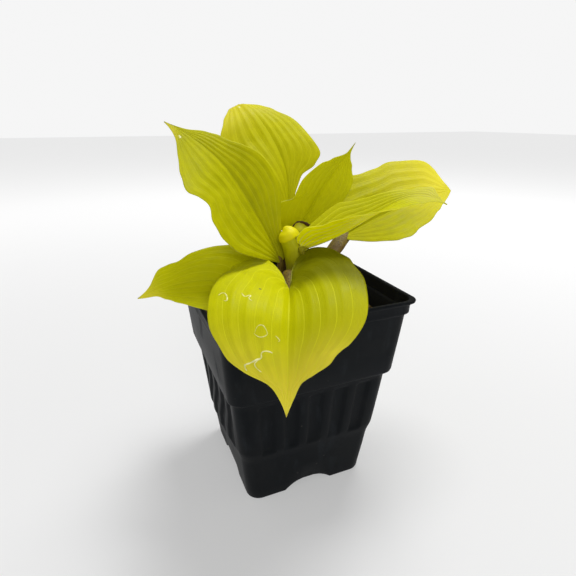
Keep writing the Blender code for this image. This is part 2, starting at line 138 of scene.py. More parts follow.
def make_mesh(
    name: str,
    vertices: np.ndarray,
    faces: Sequence[Sequence[int]],
    attributes: dict[str, np.ndarray] | None = None,
    sharp_degrees: float | None = None,
) -> bpy.types.Object:
    """Make a smooth-shaded mesh object from millimetre vertices.

    Args:
        name: Object name.
        vertices: Vertex positions in millimetres.
        faces: Vertex indices of each face.
        attributes: Point attributes by name.
        sharp_degrees: Edge angle from which shading breaks, or None for all smooth.

    Returns:
        The new object, linked to the scene.
    """
    mesh = bpy.data.meshes.new(name)
    mesh.from_pydata((np.asarray(vertices) * MM).tolist(), [], faces)
    mesh.validate()
    for key, values in (attributes or {}).items():
        layer = mesh.attributes.new(key, "FLOAT", "POINT")
        layer.data.foreach_set("value", np.asarray(values, np.float32).ravel())
    mesh.polygons.foreach_set("use_smooth", np.ones(len(mesh.polygons), bool))
    if sharp_degrees is not None:
        mesh.set_sharp_from_angle(angle=math.radians(sharp_degrees))
    mesh.update()
    item = bpy.data.objects.new(name, mesh)
    bpy.context.scene.collection.objects.link(item)
    LOG.info("%s: %d vertices, %d faces", name, len(mesh.vertices), len(mesh.polygons))
    return item


def grid_faces(rows: int, columns: int, closed: bool, offset: int = 0, flip: bool = False) -> list:
    """List the quads of a grid of vertices.

    Args:
        rows: Number of rows.
        columns: Number of columns.
        closed: Whether the last column joins the first.
        offset: Index of the first vertex.
        flip: Whether to turn the faces over.

    Returns:
        Face index lists.
    """
    span = columns if closed else columns - 1
    i, j = np.meshgrid(np.arange(rows - 1), np.arange(span), indexing="ij")
    k = (j + 1) % columns
    corners = [i * columns + j, i * columns + k, (i + 1) * columns + k, (i + 1) * columns + j]
    if flip:
        corners.reverse()
    return (np.stack(corners, axis=-1).reshape(-1, 4) + offset).tolist()


def capped_faces(rows: int, sides: int) -> list:
    """List the faces of a stack of rings with a cap on both ends.

    Args:
        rows: Number of rings.
        sides: Points per ring.

    Returns:
        Face index lists.
    """
    faces = grid_faces(rows, sides, closed=True)
    faces.append(list(range(sides))[::-1])
    faces.append([(rows - 1) * sides + i for i in range(sides)])
    return faces


def circle_angles(sides: int) -> np.ndarray:
    """List evenly spaced angles around a circle.

    Args:
        sides: Number of angles.

    Returns:
        Angles in radians.
    """
    return np.arange(sides) * 2 * math.pi / sides


def tube(path: np.ndarray, profile: np.ndarray, guide: Point = (1.0, 0.0, 0.0)) -> np.ndarray:
    """Sweep a ring profile along a path.

    Args:
        path: Centre points, one per ring.
        profile: Ring offsets (across, up) of shape rings x sides x 2.
        guide: Direction that the across axis follows.

    Returns:
        Points of shape rings x sides x 3.
    """
    tangent = unit(np.gradient(path, axis=0))
    g = np.broadcast_to(np.asarray(guide, float), tangent.shape)
    across = unit(g - tangent * np.sum(g * tangent, axis=1, keepdims=True))
    up = np.cross(tangent, across)
    return (
        path[:, None, :]
        + across[:, None, :] * profile[:, :, :1]
        + up[:, None, :] * profile[:, :, 1:]
    )


def place(item: bpy.types.Object, slot: Slot, material: bpy.types.Material, *nodes: str) -> None:
    """Give a piece its material, hide what it stands for and let it ride on the root.

    Args:
        item: The piece.
        slot: Material slot of the record; not used.
        material: Its material.
        nodes: CAD nodes that the piece stands for.
    """
    item.data.materials.append(material)
    if nodes:
        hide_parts(*nodes)
    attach(item, ROOT)


# ------------------------------------------------------------------------------------ shading


class Graph:
    """Small helper that adds nodes to a node tree and wires them."""

    def __init__(self, tree: bpy.types.NodeTree) -> None:
        """Keep the tree.

        Args:
            tree: The node tree that nodes are added to.
        """
        self.tree = tree

    def add(self, kind: str, inputs: dict | None = None, **settings: object) -> bpy.types.Node:
        """Add a node, set its properties and feed its inputs.

        Args:
            kind: Node type.
            inputs: Values or output sockets by input name or index.
            settings: Node properties.

        Returns:
            The new node.
        """
        node = self.tree.nodes.new(kind)
        for key, value in settings.items():
            setattr(node, key, value)
        for key, value in (inputs or {}).items():
            if isinstance(value, bpy.types.NodeSocket):
                self.tree.links.new(value, node.inputs[key])
            else:
                node.inputs[key].default_value = value
        return node

    def math(
        self, operation: str, a: object, b: object = 0.0, clamp: bool = False
    ) -> bpy.types.NodeSocket:
        """Add a math node.

        Args:
            operation: Name of the operation.
            a: First value or socket.
            b: Second value or socket.
            clamp: Whether the result is kept between 0 and 1.

        Returns:
            The result socket.
        """
        node = self.add("ShaderNodeMath", {0: a, 1: b}, operation=operation, use_clamp=clamp)
        return node.outputs[0]

    def ease(
        self, value: object, low: float, high: float, start: float = 0.0, end: float = 1.0
    ) -> bpy.types.NodeSocket:
        """Ease a value from one range to another.

        Args:
            value: Value socket.
            low: Value at which the result is start.
            high: Value at which the result is end.
            start: Result at the low limit.
            end: Result at the high limit.

        Returns:
            The result socket.
        """
        node = self.add(
            "ShaderNodeMapRange",
            {"Value": value, "From Min": low, "From Max": high, "To Min": start, "To Max": end},
            interpolation_type="SMOOTHSTEP",
        )
        return node.outputs[0]

    def mix(self, share: object, a: object, b: object, blend: str = "MIX") -> bpy.types.NodeSocket:
        """Mix two colours.

        Args:
            share: Share of the second colour.
            a: First colour or socket.
            b: Second colour or socket.
            blend: Blend mode.

        Returns:
            The colour socket.
        """
        node = self.add("ShaderNodeMix", data_type="RGBA", blend_type=blend)
        for index, value in ((0, share), (6, a), (7, b)):
            if isinstance(value, bpy.types.NodeSocket):
                self.tree.links.new(value, node.inputs[index])
            elif index == 0:
                node.inputs[index].default_value = value
            else:
                node.inputs[index].default_value = (*value[:3], 1.0)
        return node.outputs[2]

    def value(self, name: str) -> bpy.types.NodeSocket:
        """Read a point attribute as a number.

        Args:
            name: Attribute name.

        Returns:
            The value socket.
        """
        return self.add("ShaderNodeAttribute", attribute_name=name).outputs["Fac"]

    def place(self) -> bpy.types.NodeSocket:
        """Read the position in the object's own frame.

        Returns:
            The vector socket.
        """
        return self.add("ShaderNodeTexCoord").outputs["Object"]

    def noise(
        self, vector: object, scale: object, detail: float = 3.0, rough: float = 0.55
    ) -> bpy.types.NodeSocket:
        """Add a noise texture.

        Args:
            vector: Coordinates.
            scale: Scale in cycles per metre, as a number or a socket.
            detail: Octaves.
            rough: Strength of the finer octaves.

        Returns:
            The value socket.
        """
        inputs = {"Vector": vector, "Scale": scale, "Detail": detail, "Roughness": rough}
        return self.add("ShaderNodeTexNoise", inputs).outputs[0]

    def group(self, tree: bpy.types.NodeTree, **inputs: object) -> bpy.types.Node:
        """Place a node group.

        Args:
            tree: The group's tree.
            inputs: Values or sockets; underscores in names stand for spaces.

        Returns:
            The group node.
        """
        node = self.tree.nodes.new("ShaderNodeGroup")
        node.node_tree = tree
        for key, value in inputs.items():
            socket = node.inputs[key.replace("_", " ")]
            if isinstance(value, bpy.types.NodeSocket):
                self.tree.links.new(value, socket)
            else:
                socket.default_value = value
        return node


class Effect:
    """Base of the shader node groups."""

    title = "effect"
    inputs: tuple[tuple[str, str, object], ...] = ()
    outputs: tuple[tuple[str, str], ...] = ()

    def __init__(self) -> None:
        """Make the group with its named sockets and fill it."""
        self.tree = bpy.data.node_groups.new(self.title, "ShaderNodeTree")
        for name, kind, default in self.inputs:
            socket = self.tree.interface.new_socket(name, in_out="INPUT", socket_type=kind)
            if default is not None:
                socket.default_value = default
        for name, kind in self.outputs:
            self.tree.interface.new_socket(name, in_out="OUTPUT", socket_type=kind)
        self.graph = Graph(self.tree)
        self.source = self.tree.nodes.new("NodeGroupInput").outputs
        self.sink = self.tree.nodes.new("NodeGroupOutput").inputs
        self.fill()

    def give(self, name: str, socket: bpy.types.NodeSocket) -> None:
        """Wire a result to a named output.

        Args:
            name: Output name.
            socket: The result.
        """
        self.tree.links.new(socket, self.sink[name])

    def fill(self) -> None:
        """Add the group's nodes."""
        raise NotImplementedError


NUMBER = "NodeSocketFloat"
VECTOR = "NodeSocketVector"


class VeinEffect(Effect):
    """Thin lines along the ribs, fine parallel nerves between them and a relief height."""

    title = "Leaf veins"
    inputs = (
        ("Distance", NUMBER, 1.0),
        ("Across", NUMBER, 0.0),
        ("Along", NUMBER, 0.0),
        ("Vector", VECTOR, None),
        ("Line Width", NUMBER, 0.35),
        ("Nerves", NUMBER, 70.0),
    )
    outputs = (("Line", NUMBER), ("Nerve", NUMBER), ("Height", NUMBER))

    def fill(self) -> None:
        """Add the group's nodes."""
        g, s = self.graph, self.source
        wander = g.noise(s["Vector"], 300.0, 2.0)
        near = g.math("DIVIDE", s["Distance"], s["Line Width"])
        near = g.math("ADD", near, g.math("MULTIPLY", g.math("SUBTRACT", wander, 0.5), 0.5))
        line = g.ease(near, 0.25, 1.0, 1.0, 0.0)
        comb = g.add("ShaderNodeCombineXYZ", {0: g.math("MULTIPLY", s["Across"], s["Nerves"]),
                                              1: g.math("MULTIPLY", s["Along"], 3.0)})
        nerve = g.noise(comb.outputs[0], 1.0, 2.0, 0.6)
        cells = g.noise(s["Vector"], 1500.0, 2.0)
        height = g.math("ADD", g.math("MULTIPLY", nerve, 0.55), g.math("MULTIPLY", cells, 0.35))
        height = g.math("SUBTRACT", height, g.math("MULTIPLY", line, 0.35))
        self.give("Line", line)
        self.give("Nerve", nerve)
        self.give("Height", height)


class MottleEffect(Effect):
    """Soft cloudy variation in two sizes."""

    title = "Cloudy mottle"
    inputs = (("Vector", VECTOR, None), ("Broad Scale", NUMBER, 25.0), ("Fine Scale", NUMBER, 180.0))
    outputs = (("Broad", NUMBER), ("Fine", NUMBER))

    def fill(self) -> None:
        """Add the group's nodes."""
        g, s = self.graph, self.source
        self.give("Broad", g.ease(g.noise(s["Vector"], s["Broad Scale"], 2.0), 0.35, 0.65))
        self.give("Fine", g.ease(g.noise(s["Vector"], s["Fine Scale"], 4.0), 0.3, 0.7))


class SpeckEffect(Effect):
    """Scattered round specks of uneven size."""

    title = "Specks"
    inputs = (("Vector", VECTOR, None), ("Scale", NUMBER, 200.0), ("Size", NUMBER, 0.18),
              ("Share", NUMBER, 0.15))
    outputs = (("Mask", NUMBER),)

    def fill(self) -> None:
        """Add the group's nodes."""
        g, s = self.graph, self.source
        cells = g.add("ShaderNodeTexVoronoi", {"Vector": s["Vector"], "Scale": s["Scale"]})
        pick = g.add("ShaderNodeSeparateColor", {0: cells.outputs["Color"]})
        chosen = g.math("LESS_THAN", pick.outputs[0], s["Share"])
        radius = g.math("MULTIPLY", s["Size"], g.math("ADD", pick.outputs[1], 0.4))
        inside = g.math("SUBTRACT", 1.0, g.math("DIVIDE", cells.outputs["Distance"], radius), True)
        self.give("Mask", g.math("MULTIPLY", chosen, g.ease(inside, 0.0, 0.5)))


class ScuffEffect(Effect):
    """Rubbed streaks and settled dust on plastic."""

    title = "Scuffs and dust"
    inputs = (("Vector", VECTOR, None), ("Scale", NUMBER, 90.0))
    outputs = (("Scuff", NUMBER), ("Dust", NUMBER), ("Grain", NUMBER))

    def fill(self) -> None:
        """Add the group's nodes."""
        g, s = self.graph, self.source
        stretched = g.add("ShaderNodeMapping", {"Vector": s["Vector"], "Scale": (1.0, 1.0, 0.22)})
        streak = g.noise(stretched.outputs[0], g.math("MULTIPLY", s["Scale"], 2.2), 5.0, 0.65)
        cloud = g.noise(s["Vector"], s["Scale"], 3.0)
        self.give("Scuff", g.math("MULTIPLY", g.ease(streak, 0.5, 0.68), g.ease(cloud, 0.42, 0.6)))
        self.give("Dust", g.ease(g.noise(s["Vector"], g.math("MULTIPLY", s["Scale"], 0.35), 6.0, 0.7),
                                 0.42, 0.72))
        self.give("Grain", g.noise(s["Vector"], g.math("MULTIPLY", s["Scale"], 28.0), 2.0))


@dataclass
class Effects:
    """The shared shader node groups."""

    veins: VeinEffect = field(default_factory=VeinEffect)
    mottle: MottleEffect = field(default_factory=MottleEffect)
    specks: SpeckEffect = field(default_factory=SpeckEffect)
    scuffs: ScuffEffect = field(default_factory=ScuffEffect)


def new_material(name: str) -> tuple[bpy.types.Material, Graph, bpy.types.Node]:
    """Start a material.

    Args:
        name: Material name.

    Returns:
        The material, its graph and its Principled BSDF.
    """
    material = bpy.data.materials.new(name)
    material.use_nodes = True
    graph = Graph(material.node_tree)
    return material, graph, material.node_tree.nodes["Principled BSDF"]


def add_surface(
    graph: Graph, shader: bpy.types.Node, colour: object, roughness: object, specular: float
) -> None:
    """Feed colour and roughness, which change over the surface, and set the specular level.

    Args:
        graph: The material's graph.
        shader: The Principled BSDF.
        colour: Colour socket.
        roughness: Roughness socket.
        specular: Specular level.
    """
    graph.tree.links.new(colour, shader.inputs["Base Color"])
    graph.tree.links.new(roughness, shader.inputs["Roughness"])
    shader.inputs["Specular IOR Level"].default_value = specular


def add_leaf_glow(shader: bpy.types.Node, weight: float, scale: float) -> None:
    """Let some light bleed through a thin, moist leaf.

    Args:
        shader: The Principled BSDF.
        weight: Share of the light that bleeds.
        scale: Distance in metres.
    """
    shader.inputs["Subsurface Weight"].default_value = weight
    shader.inputs["Subsurface Radius"].default_value = LEAF_BLEED
    shader.inputs["Subsurface Scale"].default_value = scale


def add_bump(
    graph: Graph, shader: bpy.types.Node, height: object, depth: float, strength: float
) -> None:
    """Feed a height to the shader's normal.

    Args:
        graph: The material's graph.
        shader: The Principled BSDF.
        height: Height socket from 0 to 1.
        depth: Depth in metres.
        strength: Strength of the effect.
    """
    inputs = {"Height": height, "Distance": depth, "Strength": strength}
    bump = graph.add("ShaderNodeBump", inputs)
    graph.tree.links.new(bump.outputs[0], shader.inputs["Normal"])


@dataclass(frozen=True)
class BladeFinish:
    """Colours of one blade, linear, with the shares that tint its tip and veins and that paint shade over
    its left half.
    """

    name: str
    body: Colour = (0.52, 0.52, 0.0)
    deep: Colour = (0.38, 0.385, 0.0)
    pale: Colour = (0.72, 0.69, 0.0)
    tip: Colour = (1.0, 0.80, 0.08)
    tip_start: float = 0.62
    tip_share: float = 0.75
    underside: Colour = (0.42, 0.43, 0.09)
    vein: Colour = (0.72, 0.72, 0.02)
    vein_share: float = 0.6
    # Share of painted shade that darkens the whole left half of the blade, for a half turned from the
    # light.
    painted_shade_half: float = 0.0
    # Share of the painted shadow on the left half's basal lobe, cast there by the leaves above.
    shade_left: float = 0.0
    speck: Colour = (0.16, 0.12, 0.01)
    underside_vein: Colour = (0.55, 0.56, 0.18)
    roughness: float = 0.46

    def build(self, effects: Effects) -> bpy.types.Material:
        """Build the blade's material.

        Args:
            effects: The shared node groups.

        Returns:
            The material.
        """
        material, g, shader = new_material(self.name)
        across, along = g.value("across"), g.value("along")
        spot = g.place()
        veins = g.group(effects.veins.tree, Distance=g.value("vein_distance"), Across=across,
                        Along=along, Vector=spot)
        mottle = g.group(effects.mottle.tree, Vector=spot, Broad_Scale=28.0, Fine_Scale=160.0)
        specks = g.group(effects.specks.tree, Vector=spot, Scale=170.0, Size=0.07, Share=0.10)
        colour = g.mix(g.math("MULTIPLY", mottle.outputs["Broad"], 0.45), self.body, self.deep)
        colour = g.mix(g.math("MULTIPLY", mottle.outputs["Fine"], 0.16), colour, self.pale)
        colour = g.mix(g.ease(veins.outputs["Nerve"], 0.45, 0.75, 0.0, 0.18), colour, self.pale)
        # Painted shade: the left half is darkened towards the deep colour, for a half turned from the
        # light.
        if self.painted_shade_half:
            half_shade = g.ease(across, -0.25, 0.12, self.painted_shade_half, 0.0)
            colour = g.mix(half_shade, colour, self.deep, "DARKEN")
        start = g.math("ADD", g.ease(across, -1.0, 1.0, 0.04, -0.06), along)
        tip = g.ease(start, self.tip_start, 1.0, 0.0, self.tip_share)
        uneven = g.math("ADD", 0.75, g.math("MULTIPLY", mottle.outputs["Broad"], 0.4))
        colour = g.mix(g.math("MULTIPLY", tip, uneven, True), colour, self.tip)
        colour = g.mix(g.math("MULTIPLY", veins.outputs["Line"], self.vein_share), colour, self.vein)
        # Painted shadow: the left half's basal lobe is darkened to a dim deep colour where the leaves
        # above shade it.
        if self.shade_left:
            reach = g.ease(g.math("MULTIPLY", across, -1.0), -0.05, 0.4)
            turned = g.math("MULTIPLY", g.math("ABSOLUTE", across), 0.26)
            base = g.ease(g.math("SUBTRACT", along, turned), 0.17, 0.28, 1.0, 0.0)
            shade = g.math("MULTIPLY", g.math("MULTIPLY", reach, base), self.shade_left)
            colour = g.mix(shade, colour, tuple(c * 0.40 for c in self.deep))
        colour = g.mix(g.math("MULTIPLY", specks.outputs["Mask"], 0.7), colour, self.speck)
        under = g.mix(g.math("MULTIPLY", mottle.outputs["Fine"], 0.3), self.underside, self.pale)
        under = g.mix(g.math("MULTIPLY", veins.outputs["Line"], 0.5), under, self.underside_vein)
        colour = g.mix(g.value("underside"), colour, under)
        rough = g.ease(mottle.outputs["Fine"], 0.0, 1.0, self.roughness - 0.05, self.roughness + 0.1)
        add_surface(g, shader, colour, rough, 0.06)
        add_leaf_glow(shader, 0.35, 0.0015)
        add_bump(g, shader, veins.outputs["Height"], 0.0005, 0.5)
        return material


@dataclass(frozen=True)
class FilmFinish:
    """Looks of dried sap tracks and grit stuck to a blade, linear."""

    name: str = "dried_sap_track"
    pale: Colour = (0.86, 0.84, 0.40)
    dull: Colour = (0.62, 0.62, 0.06)
    grit: Colour = (0.06, 0.045, 0.008)

    def build(self, effects: Effects) -> bpy.types.Material:
        """Build the material.

        Args:
            effects: The shared node groups.

        Returns:
            The material.
        """
        material, g, shader = new_material(self.name)
        mottle = g.group(effects.mottle.tree, Vector=g.place(), Broad_Scale=500.0, Fine_Scale=2500.0)
        colour = g.mix(g.math("MULTIPLY", mottle.outputs["Broad"], 0.6), self.pale, self.dull)
        colour = g.mix(g.value("faint"), colour, self.dull)
        colour = g.mix(g.value("grit"), colour, self.grit)
        add_surface(g, shader, colour, g.ease(mottle.outputs["Fine"], 0.0, 1.0, 0.3, 0.5), 0.5)
        return material


@dataclass(frozen=True)
class StalkFinish:
    """Colours of the leaf stalks, linear."""

    name: str = "leaf_stalk_red_speckled"
    green: Colour = (0.22, 0.17, 0.015)
    red: Colour = (0.10, 0.052, 0.012)
    pale: Colour = (0.24, 0.18, 0.03)
    red_share: float = 0.95

    def build(self, effects: Effects) -> bpy.types.Material:
        """Build the stalk material.

        Args:
            effects: The shared node groups.

        Returns:
            The material.
        """
        material, g, shader = new_material(self.name)
        stretched = g.add("ShaderNodeMapping", {"Vector": g.place(), "Scale": (1.0, 1.0, 0.35)})
        mottle = g.group(effects.mottle.tree, Vector=stretched.outputs[0], Broad_Scale=160.0,
                         Fine_Scale=900.0)
        specks = g.group(effects.specks.tree, Vector=stretched.outputs[0], Scale=1300.0, Size=0.55,
                         Share=0.7)
        along = g.value("along")
        colour = g.mix(g.ease(along, 0.55, 1.0), self.green, self.pale)
        red = g.math("MULTIPLY", g.ease(along, 0.3, 0.98, 1.0, 0.25), self.red_share)
        colour = g.mix(g.math("MULTIPLY", red, g.math("ADD", 0.45, mottle.outputs["Broad"]), True),
                       colour, self.red)
        colour = g.mix(g.math("MULTIPLY", specks.outputs["Mask"], 0.8), colour,
                       tuple(c * 0.6 for c in self.red))
        add_surface(g, shader, colour, g.ease(mottle.outputs["Fine"], 0.0, 1.0, 0.45, 0.65), 0.14)
        add_bump(g, shader, mottle.outputs["Fine"], 0.0002, 0.4)
        return material


@dataclass(frozen=True)
class FurledFinish:
    """Colours of the rolled young leaves, linear."""

    name: str = "young_leaf_rolled"
    body: Colour = (0.52, 0.51, 0.0)
    hood: Colour = (0.88, 0.80, 0.0)
    foot: Colour = (0.16, 0.14, 0.01)
    edge: Colour = (0.10, 0.045, 0.02)

    def build(self, effects: Effects) -> bpy.types.Material:
        """Build the material of a rolled leaf.

        Args:
            effects: The shared node groups.

        Returns:
            The material.
        """
        material, g, shader = new_material(self.name)
        spot = g.place()
        along, around = g.value("along"), g.value("across")
        mottle = g.group(effects.mottle.tree, Vector=spot, Broad_Scale=90.0, Fine_Scale=500.0)
        veins = g.group(effects.veins.tree, Distance=g.value("vein_distance"), Across=around,
                        Along=along, Vector=spot, Line_Width=0.22, Nerves=30.0)
        colour = g.mix(g.ease(along, 0.25, 0.62), self.foot, self.body)
        colour = g.mix(g.value("hood"), colour, self.hood)
        colour = g.mix(g.math("MULTIPLY", mottle.outputs["Broad"], 0.25), colour, self.foot)
        colour = g.mix(g.math("MULTIPLY", veins.outputs["Line"], 0.3), colour, self.hood)
        colour = g.mix(g.value("seam"), colour, self.edge)
        add_surface(g, shader, colour, g.ease(mottle.outputs["Fine"], 0.0, 1.0, 0.4, 0.55), 0.18)
        add_leaf_glow(shader, 0.25, 0.0012)
        add_bump(g, shader, veins.outputs["Height"], 0.0004, 0.5)
        return material


@dataclass(frozen=True)
class PotFinish:
    """Looks of the moulded black plastic, linear."""

    name: str = "black_satin_plastic"
    body: Colour = (0.0040, 0.0053, 0.0066)
    worn: Colour = (0.018, 0.021, 0.024)
    dust: Colour = (0.05, 0.048, 0.044)
    roughness: float = 0.46

    def build(self, effects: Effects) -> bpy.types.Material:
        """Build the pot's material.

        Args:
            effects: The shared node groups.

        Returns:
            The material.
        """
        material, g, shader = new_material(self.name)
        spot = g.place()
        scuffs = g.group(effects.scuffs.tree, Vector=spot, Scale=60.0)
        specks = g.group(effects.specks.tree, Vector=spot, Scale=230.0, Size=0.16, Share=0.12)
        inside = g.value("inside")
        colour = g.mix(g.math("MULTIPLY", scuffs.outputs["Scuff"], 0.55), self.body, self.worn)
        dusty = g.math("ADD", g.math("MULTIPLY", scuffs.outputs["Dust"], 0.10),
                       g.math("MULTIPLY", inside, 0.12))
        colour = g.mix(dusty, colour, self.dust)
        colour = g.mix(g.math("MULTIPLY", specks.outputs["Mask"], 0.5), colour, self.dust)
        rough = g.math("ADD", self.roughness, g.math("MULTIPLY", scuffs.outputs["Scuff"], 0.16))
        rough = g.math("ADD", rough, g.math("MULTIPLY", scuffs.outputs["Dust"], 0.10))
        add_surface(g, shader, colour, rough, 0.07)
        height = g.math("ADD", scuffs.outputs["Grain"], g.math("MULTIPLY", scuffs.outputs["Dust"], 0.6))
        add_bump(g, shader, height, 0.0001, 0.35)
        return material


@dataclass(frozen=True)
class EarthFinish:
    """Looks of a rough, crumbly material such as mix, bark or rootstock, linear."""

    name: str
    dark: Colour
    light: Colour
    warm: Colour
    scale: float
    depth: float

    def build(self, effects: Effects) -> bpy.types.Material:
        """Build the material.

        Args:
            effects: The shared node groups.

        Returns:
            The material.
        """
        material, g, shader = new_material(self.name)
        spot = g.place()
        mottle = g.group(effects.mottle.tree, Vector=spot, Broad_Scale=self.scale,
                         Fine_Scale=self.scale * 5.0)
        specks = g.group(effects.specks.tree, Vector=spot, Scale=self.scale * 4.0, Size=0.4,
                         Share=0.3)
        colour = g.mix(g.value("tone"), self.dark, self.light)
        colour = g.mix(g.math("MULTIPLY", mottle.outputs["Broad"], 0.45), colour, self.dark)
        colour = g.mix(g.math("MULTIPLY", mottle.outputs["Fine"], 0.35), colour, self.warm)
        colour = g.mix(g.math("MULTIPLY", specks.outputs["Mask"], 0.5), colour, self.dark)
        add_surface(g, shader, colour, g.ease(mottle.outputs["Fine"], 0.0, 1.0, 0.78, 0.95), 0.25)
        add_bump(g, shader, mottle.outputs["Fine"], self.depth, 0.8)
        return material


MIX_FINISH = EarthFinish("bark_mix", (0.020, 0.011, 0.004), (0.20, 0.11, 0.025), (0.30, 0.17, 0.03),
                         120.0, 0.0006)
CRUMB_FINISH = EarthFinish("bark_crumbs", (0.02, 0.012, 0.004), (0.55, 0.36, 0.06),
                           (0.34, 0.22, 0.04), 200.0, 0.0004)
BARK_FINISH = EarthFinish("bark_pieces", (0.03, 0.015, 0.006), (0.20, 0.105, 0.04),
                          (0.14, 0.07, 0.02), 150.0, 0.0004)
ROOTSTOCK_FINISH = EarthFinish("rootstock_skin", (0.05, 0.03, 0.012), (0.24, 0.15, 0.05),
                               (0.18, 0.10, 0.03), 120.0, 0.0005)
SHEATH_FINISH = EarthFinish("withered_sheath", (0.035, 0.014, 0.006), (0.16, 0.085, 0.02),
                            (0.11, 0.06, 0.015), 300.0, 0.0002)


# ------------------------------------------------------------------------------------ pot


@dataclass(frozen=True)
class PotLevel:
    """One ring of the pot: height, outer half-width, corner radius, flute depth and arch."""

    height: float
    half: float
    radius: float = 8.0
    flute: float = 0.0
    arch: float = 0.0


@dataclass
class Pot:
    """The thin square nursery pot, whose left wall bulges a little above and below its ledge."""

    material: bpy.types.Material
    flutes: int = 5
    flute_depth: float = 1.5
    arch_half_width: float = 15.5
    corner_steps: int = 10
    left_wall: int = 3
    ledge_height: float = 77.0
    rim_height: float = 123.0
    bulge: float = 2.4
    other_walls_share: float = 0.25
    low_bulge: float = 3.4
    low_bulge_height: float = 42.0
    low_bulge_spread: float = 9.5
    floor_height: float = 8.9
    underside_height: float = 7.5
    drain_radius: float = 4.5
    drain_offset: float = 22.0
    drain_span: Pair = (5.0, 11.0)
    pad_radius: float = 9.0
    pad_span: Pair = (0.0, 8.0)
    round_sides: int = 32

    def marks(self) -> list[tuple[float, float]]:
        """List the positions along a side and how deep the flute is there.

        Returns:
            Pairs of position (-1 to 1) and share of the flute depth.
        """
        pitch = 2.0 / (self.flutes + 0.15)
        found = [(-1.0, 0.0), (-0.97, 0.0)]
        for k in range(self.flutes):
            centre = (k - (self.flutes - 1) / 2) * pitch
            for step, share in ((-0.36, 0.0), (-0.31, 0.15), (-0.22, 0.85), (-0.16, 1.0), (0.0, 1.0),
                                (0.16, 1.0), (0.22, 0.85), (0.31, 0.15), (0.36, 0.0)):
                found.append((centre + step * pitch, share))
        return found + [(0.97, 0.0), (1.0, 0.0)]

    def ring(self, level: PotLevel) -> np.ndarray:
        """Make one ring of points.

        Args:
            level: Size of the ring.

        Returns:
            Points, one per row.
        """
        flat = level.half - level.radius
        found = []
        rise_share = (level.height - self.ledge_height) / (self.rim_height - self.ledge_height)
        swell = self.bulge * math.sin(math.pi * min(max(rise_share, 0.0), 1.0))
        low = (level.height - self.low_bulge_height) / self.low_bulge_spread
        low_swell = self.low_bulge * math.exp(-(low ** 2))
        for side in range(4):
            turn = side * math.pi / 2
            c, s = math.cos(turn), math.sin(turn)
            points = []
            for mark, share in self.marks():
                along = mark * flat
                rise = level.arch * max(0.0, 1.0 - abs(along / self.arch_half_width) ** 2.4)
                out = swell * (1.0 - mark * mark)
                if side == self.left_wall:
                    out += low_swell * (1.0 - mark * mark)
                else:
                    out *= self.other_walls_share
                points.append((along, -level.half - out + level.flute * share, level.height + rise))
            for k in range(1, self.corner_steps):
                a = -math.pi / 2 + k * math.pi / 2 / self.corner_steps
                points.append((flat + level.radius * math.cos(a),
                               -flat + level.radius * math.sin(a), level.height))
            found += [(x * c - y * s, x * s + y * c, z) for x, y, z in points]
        return np.asarray(found)

    def levels(self) -> tuple[list[PotLevel], list[PotLevel]]:
        """List the rings of the outside, from the feet up, and of the inside, from the lip down.

        Returns:
            The outside and the inside levels.
        """
        d = self.flute_depth
        outside = [
            PotLevel(0.0, 37.6, arch=5.6), PotLevel(0.5, 38.2, arch=5.8), PotLevel(1.4, 38.5, arch=5.2),
            PotLevel(7.0, 39.1), PotLevel(20.0, 40.7), PotLevel(29.5, 41.7), PotLevel(32.0, 42.15),
            PotLevel(34.0, 42.65), PotLevel(35.6, 43.1), PotLevel(37.0, 43.4),
            PotLevel(38.0, 43.7, flute=d * 0.6), PotLevel(39.6, 43.9, flute=d),
            PotLevel(47.0, 44.7, flute=d), PotLevel(56.0, 45.6, flute=d),
            PotLevel(64.0, 46.4, flute=d), PotLevel(70.4, 47.0, flute=d),
            PotLevel(71.8, 47.1, flute=d * 0.8), PotLevel(72.8, 47.2), PotLevel(74.8, 47.5),
            PotLevel(76.0, 48.0), PotLevel(76.8, 49.4),
            PotLevel(77.5, 50.1), PotLevel(78.6, 50.45), PotLevel(90.0, 51.5), PotLevel(103.0, 52.7),
            PotLevel(114.4, 53.7), PotLevel(115.2, 53.9), PotLevel(115.6, 54.7),
            PotLevel(116.1, 55.25), PotLevel(117.0, 55.3), PotLevel(121.2, 55.5),
            PotLevel(121.8, 55.8, 7.6), PotLevel(122.1, 56.5, 7.0), PotLevel(122.5, 56.9, 6.6),
            PotLevel(123.3, 57.0, 6.4), PotLevel(123.8, 56.8, 6.4), PotLevel(124.0, 56.3, 6.4),
        ]
        inside = [
            PotLevel(124.0, 55.0, 7.0), PotLevel(123.8, 54.6, 7.2), PotLevel(123.0, 54.4, 7.4),
            PotLevel(117.2, 54.2), PotLevel(116.4, 54.0), PotLevel(116.0, 53.2), PotLevel(115.4, 52.8),
            PotLevel(103.0, 51.6), PotLevel(79.0, 49.4), PotLevel(77.6, 48.6), PotLevel(76.4, 46.7),
            PotLevel(71.0, 46.0, flute=d), PotLevel(56.0, 44.5, flute=d),
            PotLevel(47.0, 43.6, flute=d), PotLevel(39.6, 42.8, flute=d), PotLevel(33.0, 41.2),
            PotLevel(self.floor_height + 1.5, 38.9), PotLevel(self.floor_height, 38.0),
        ]
        return outside, inside

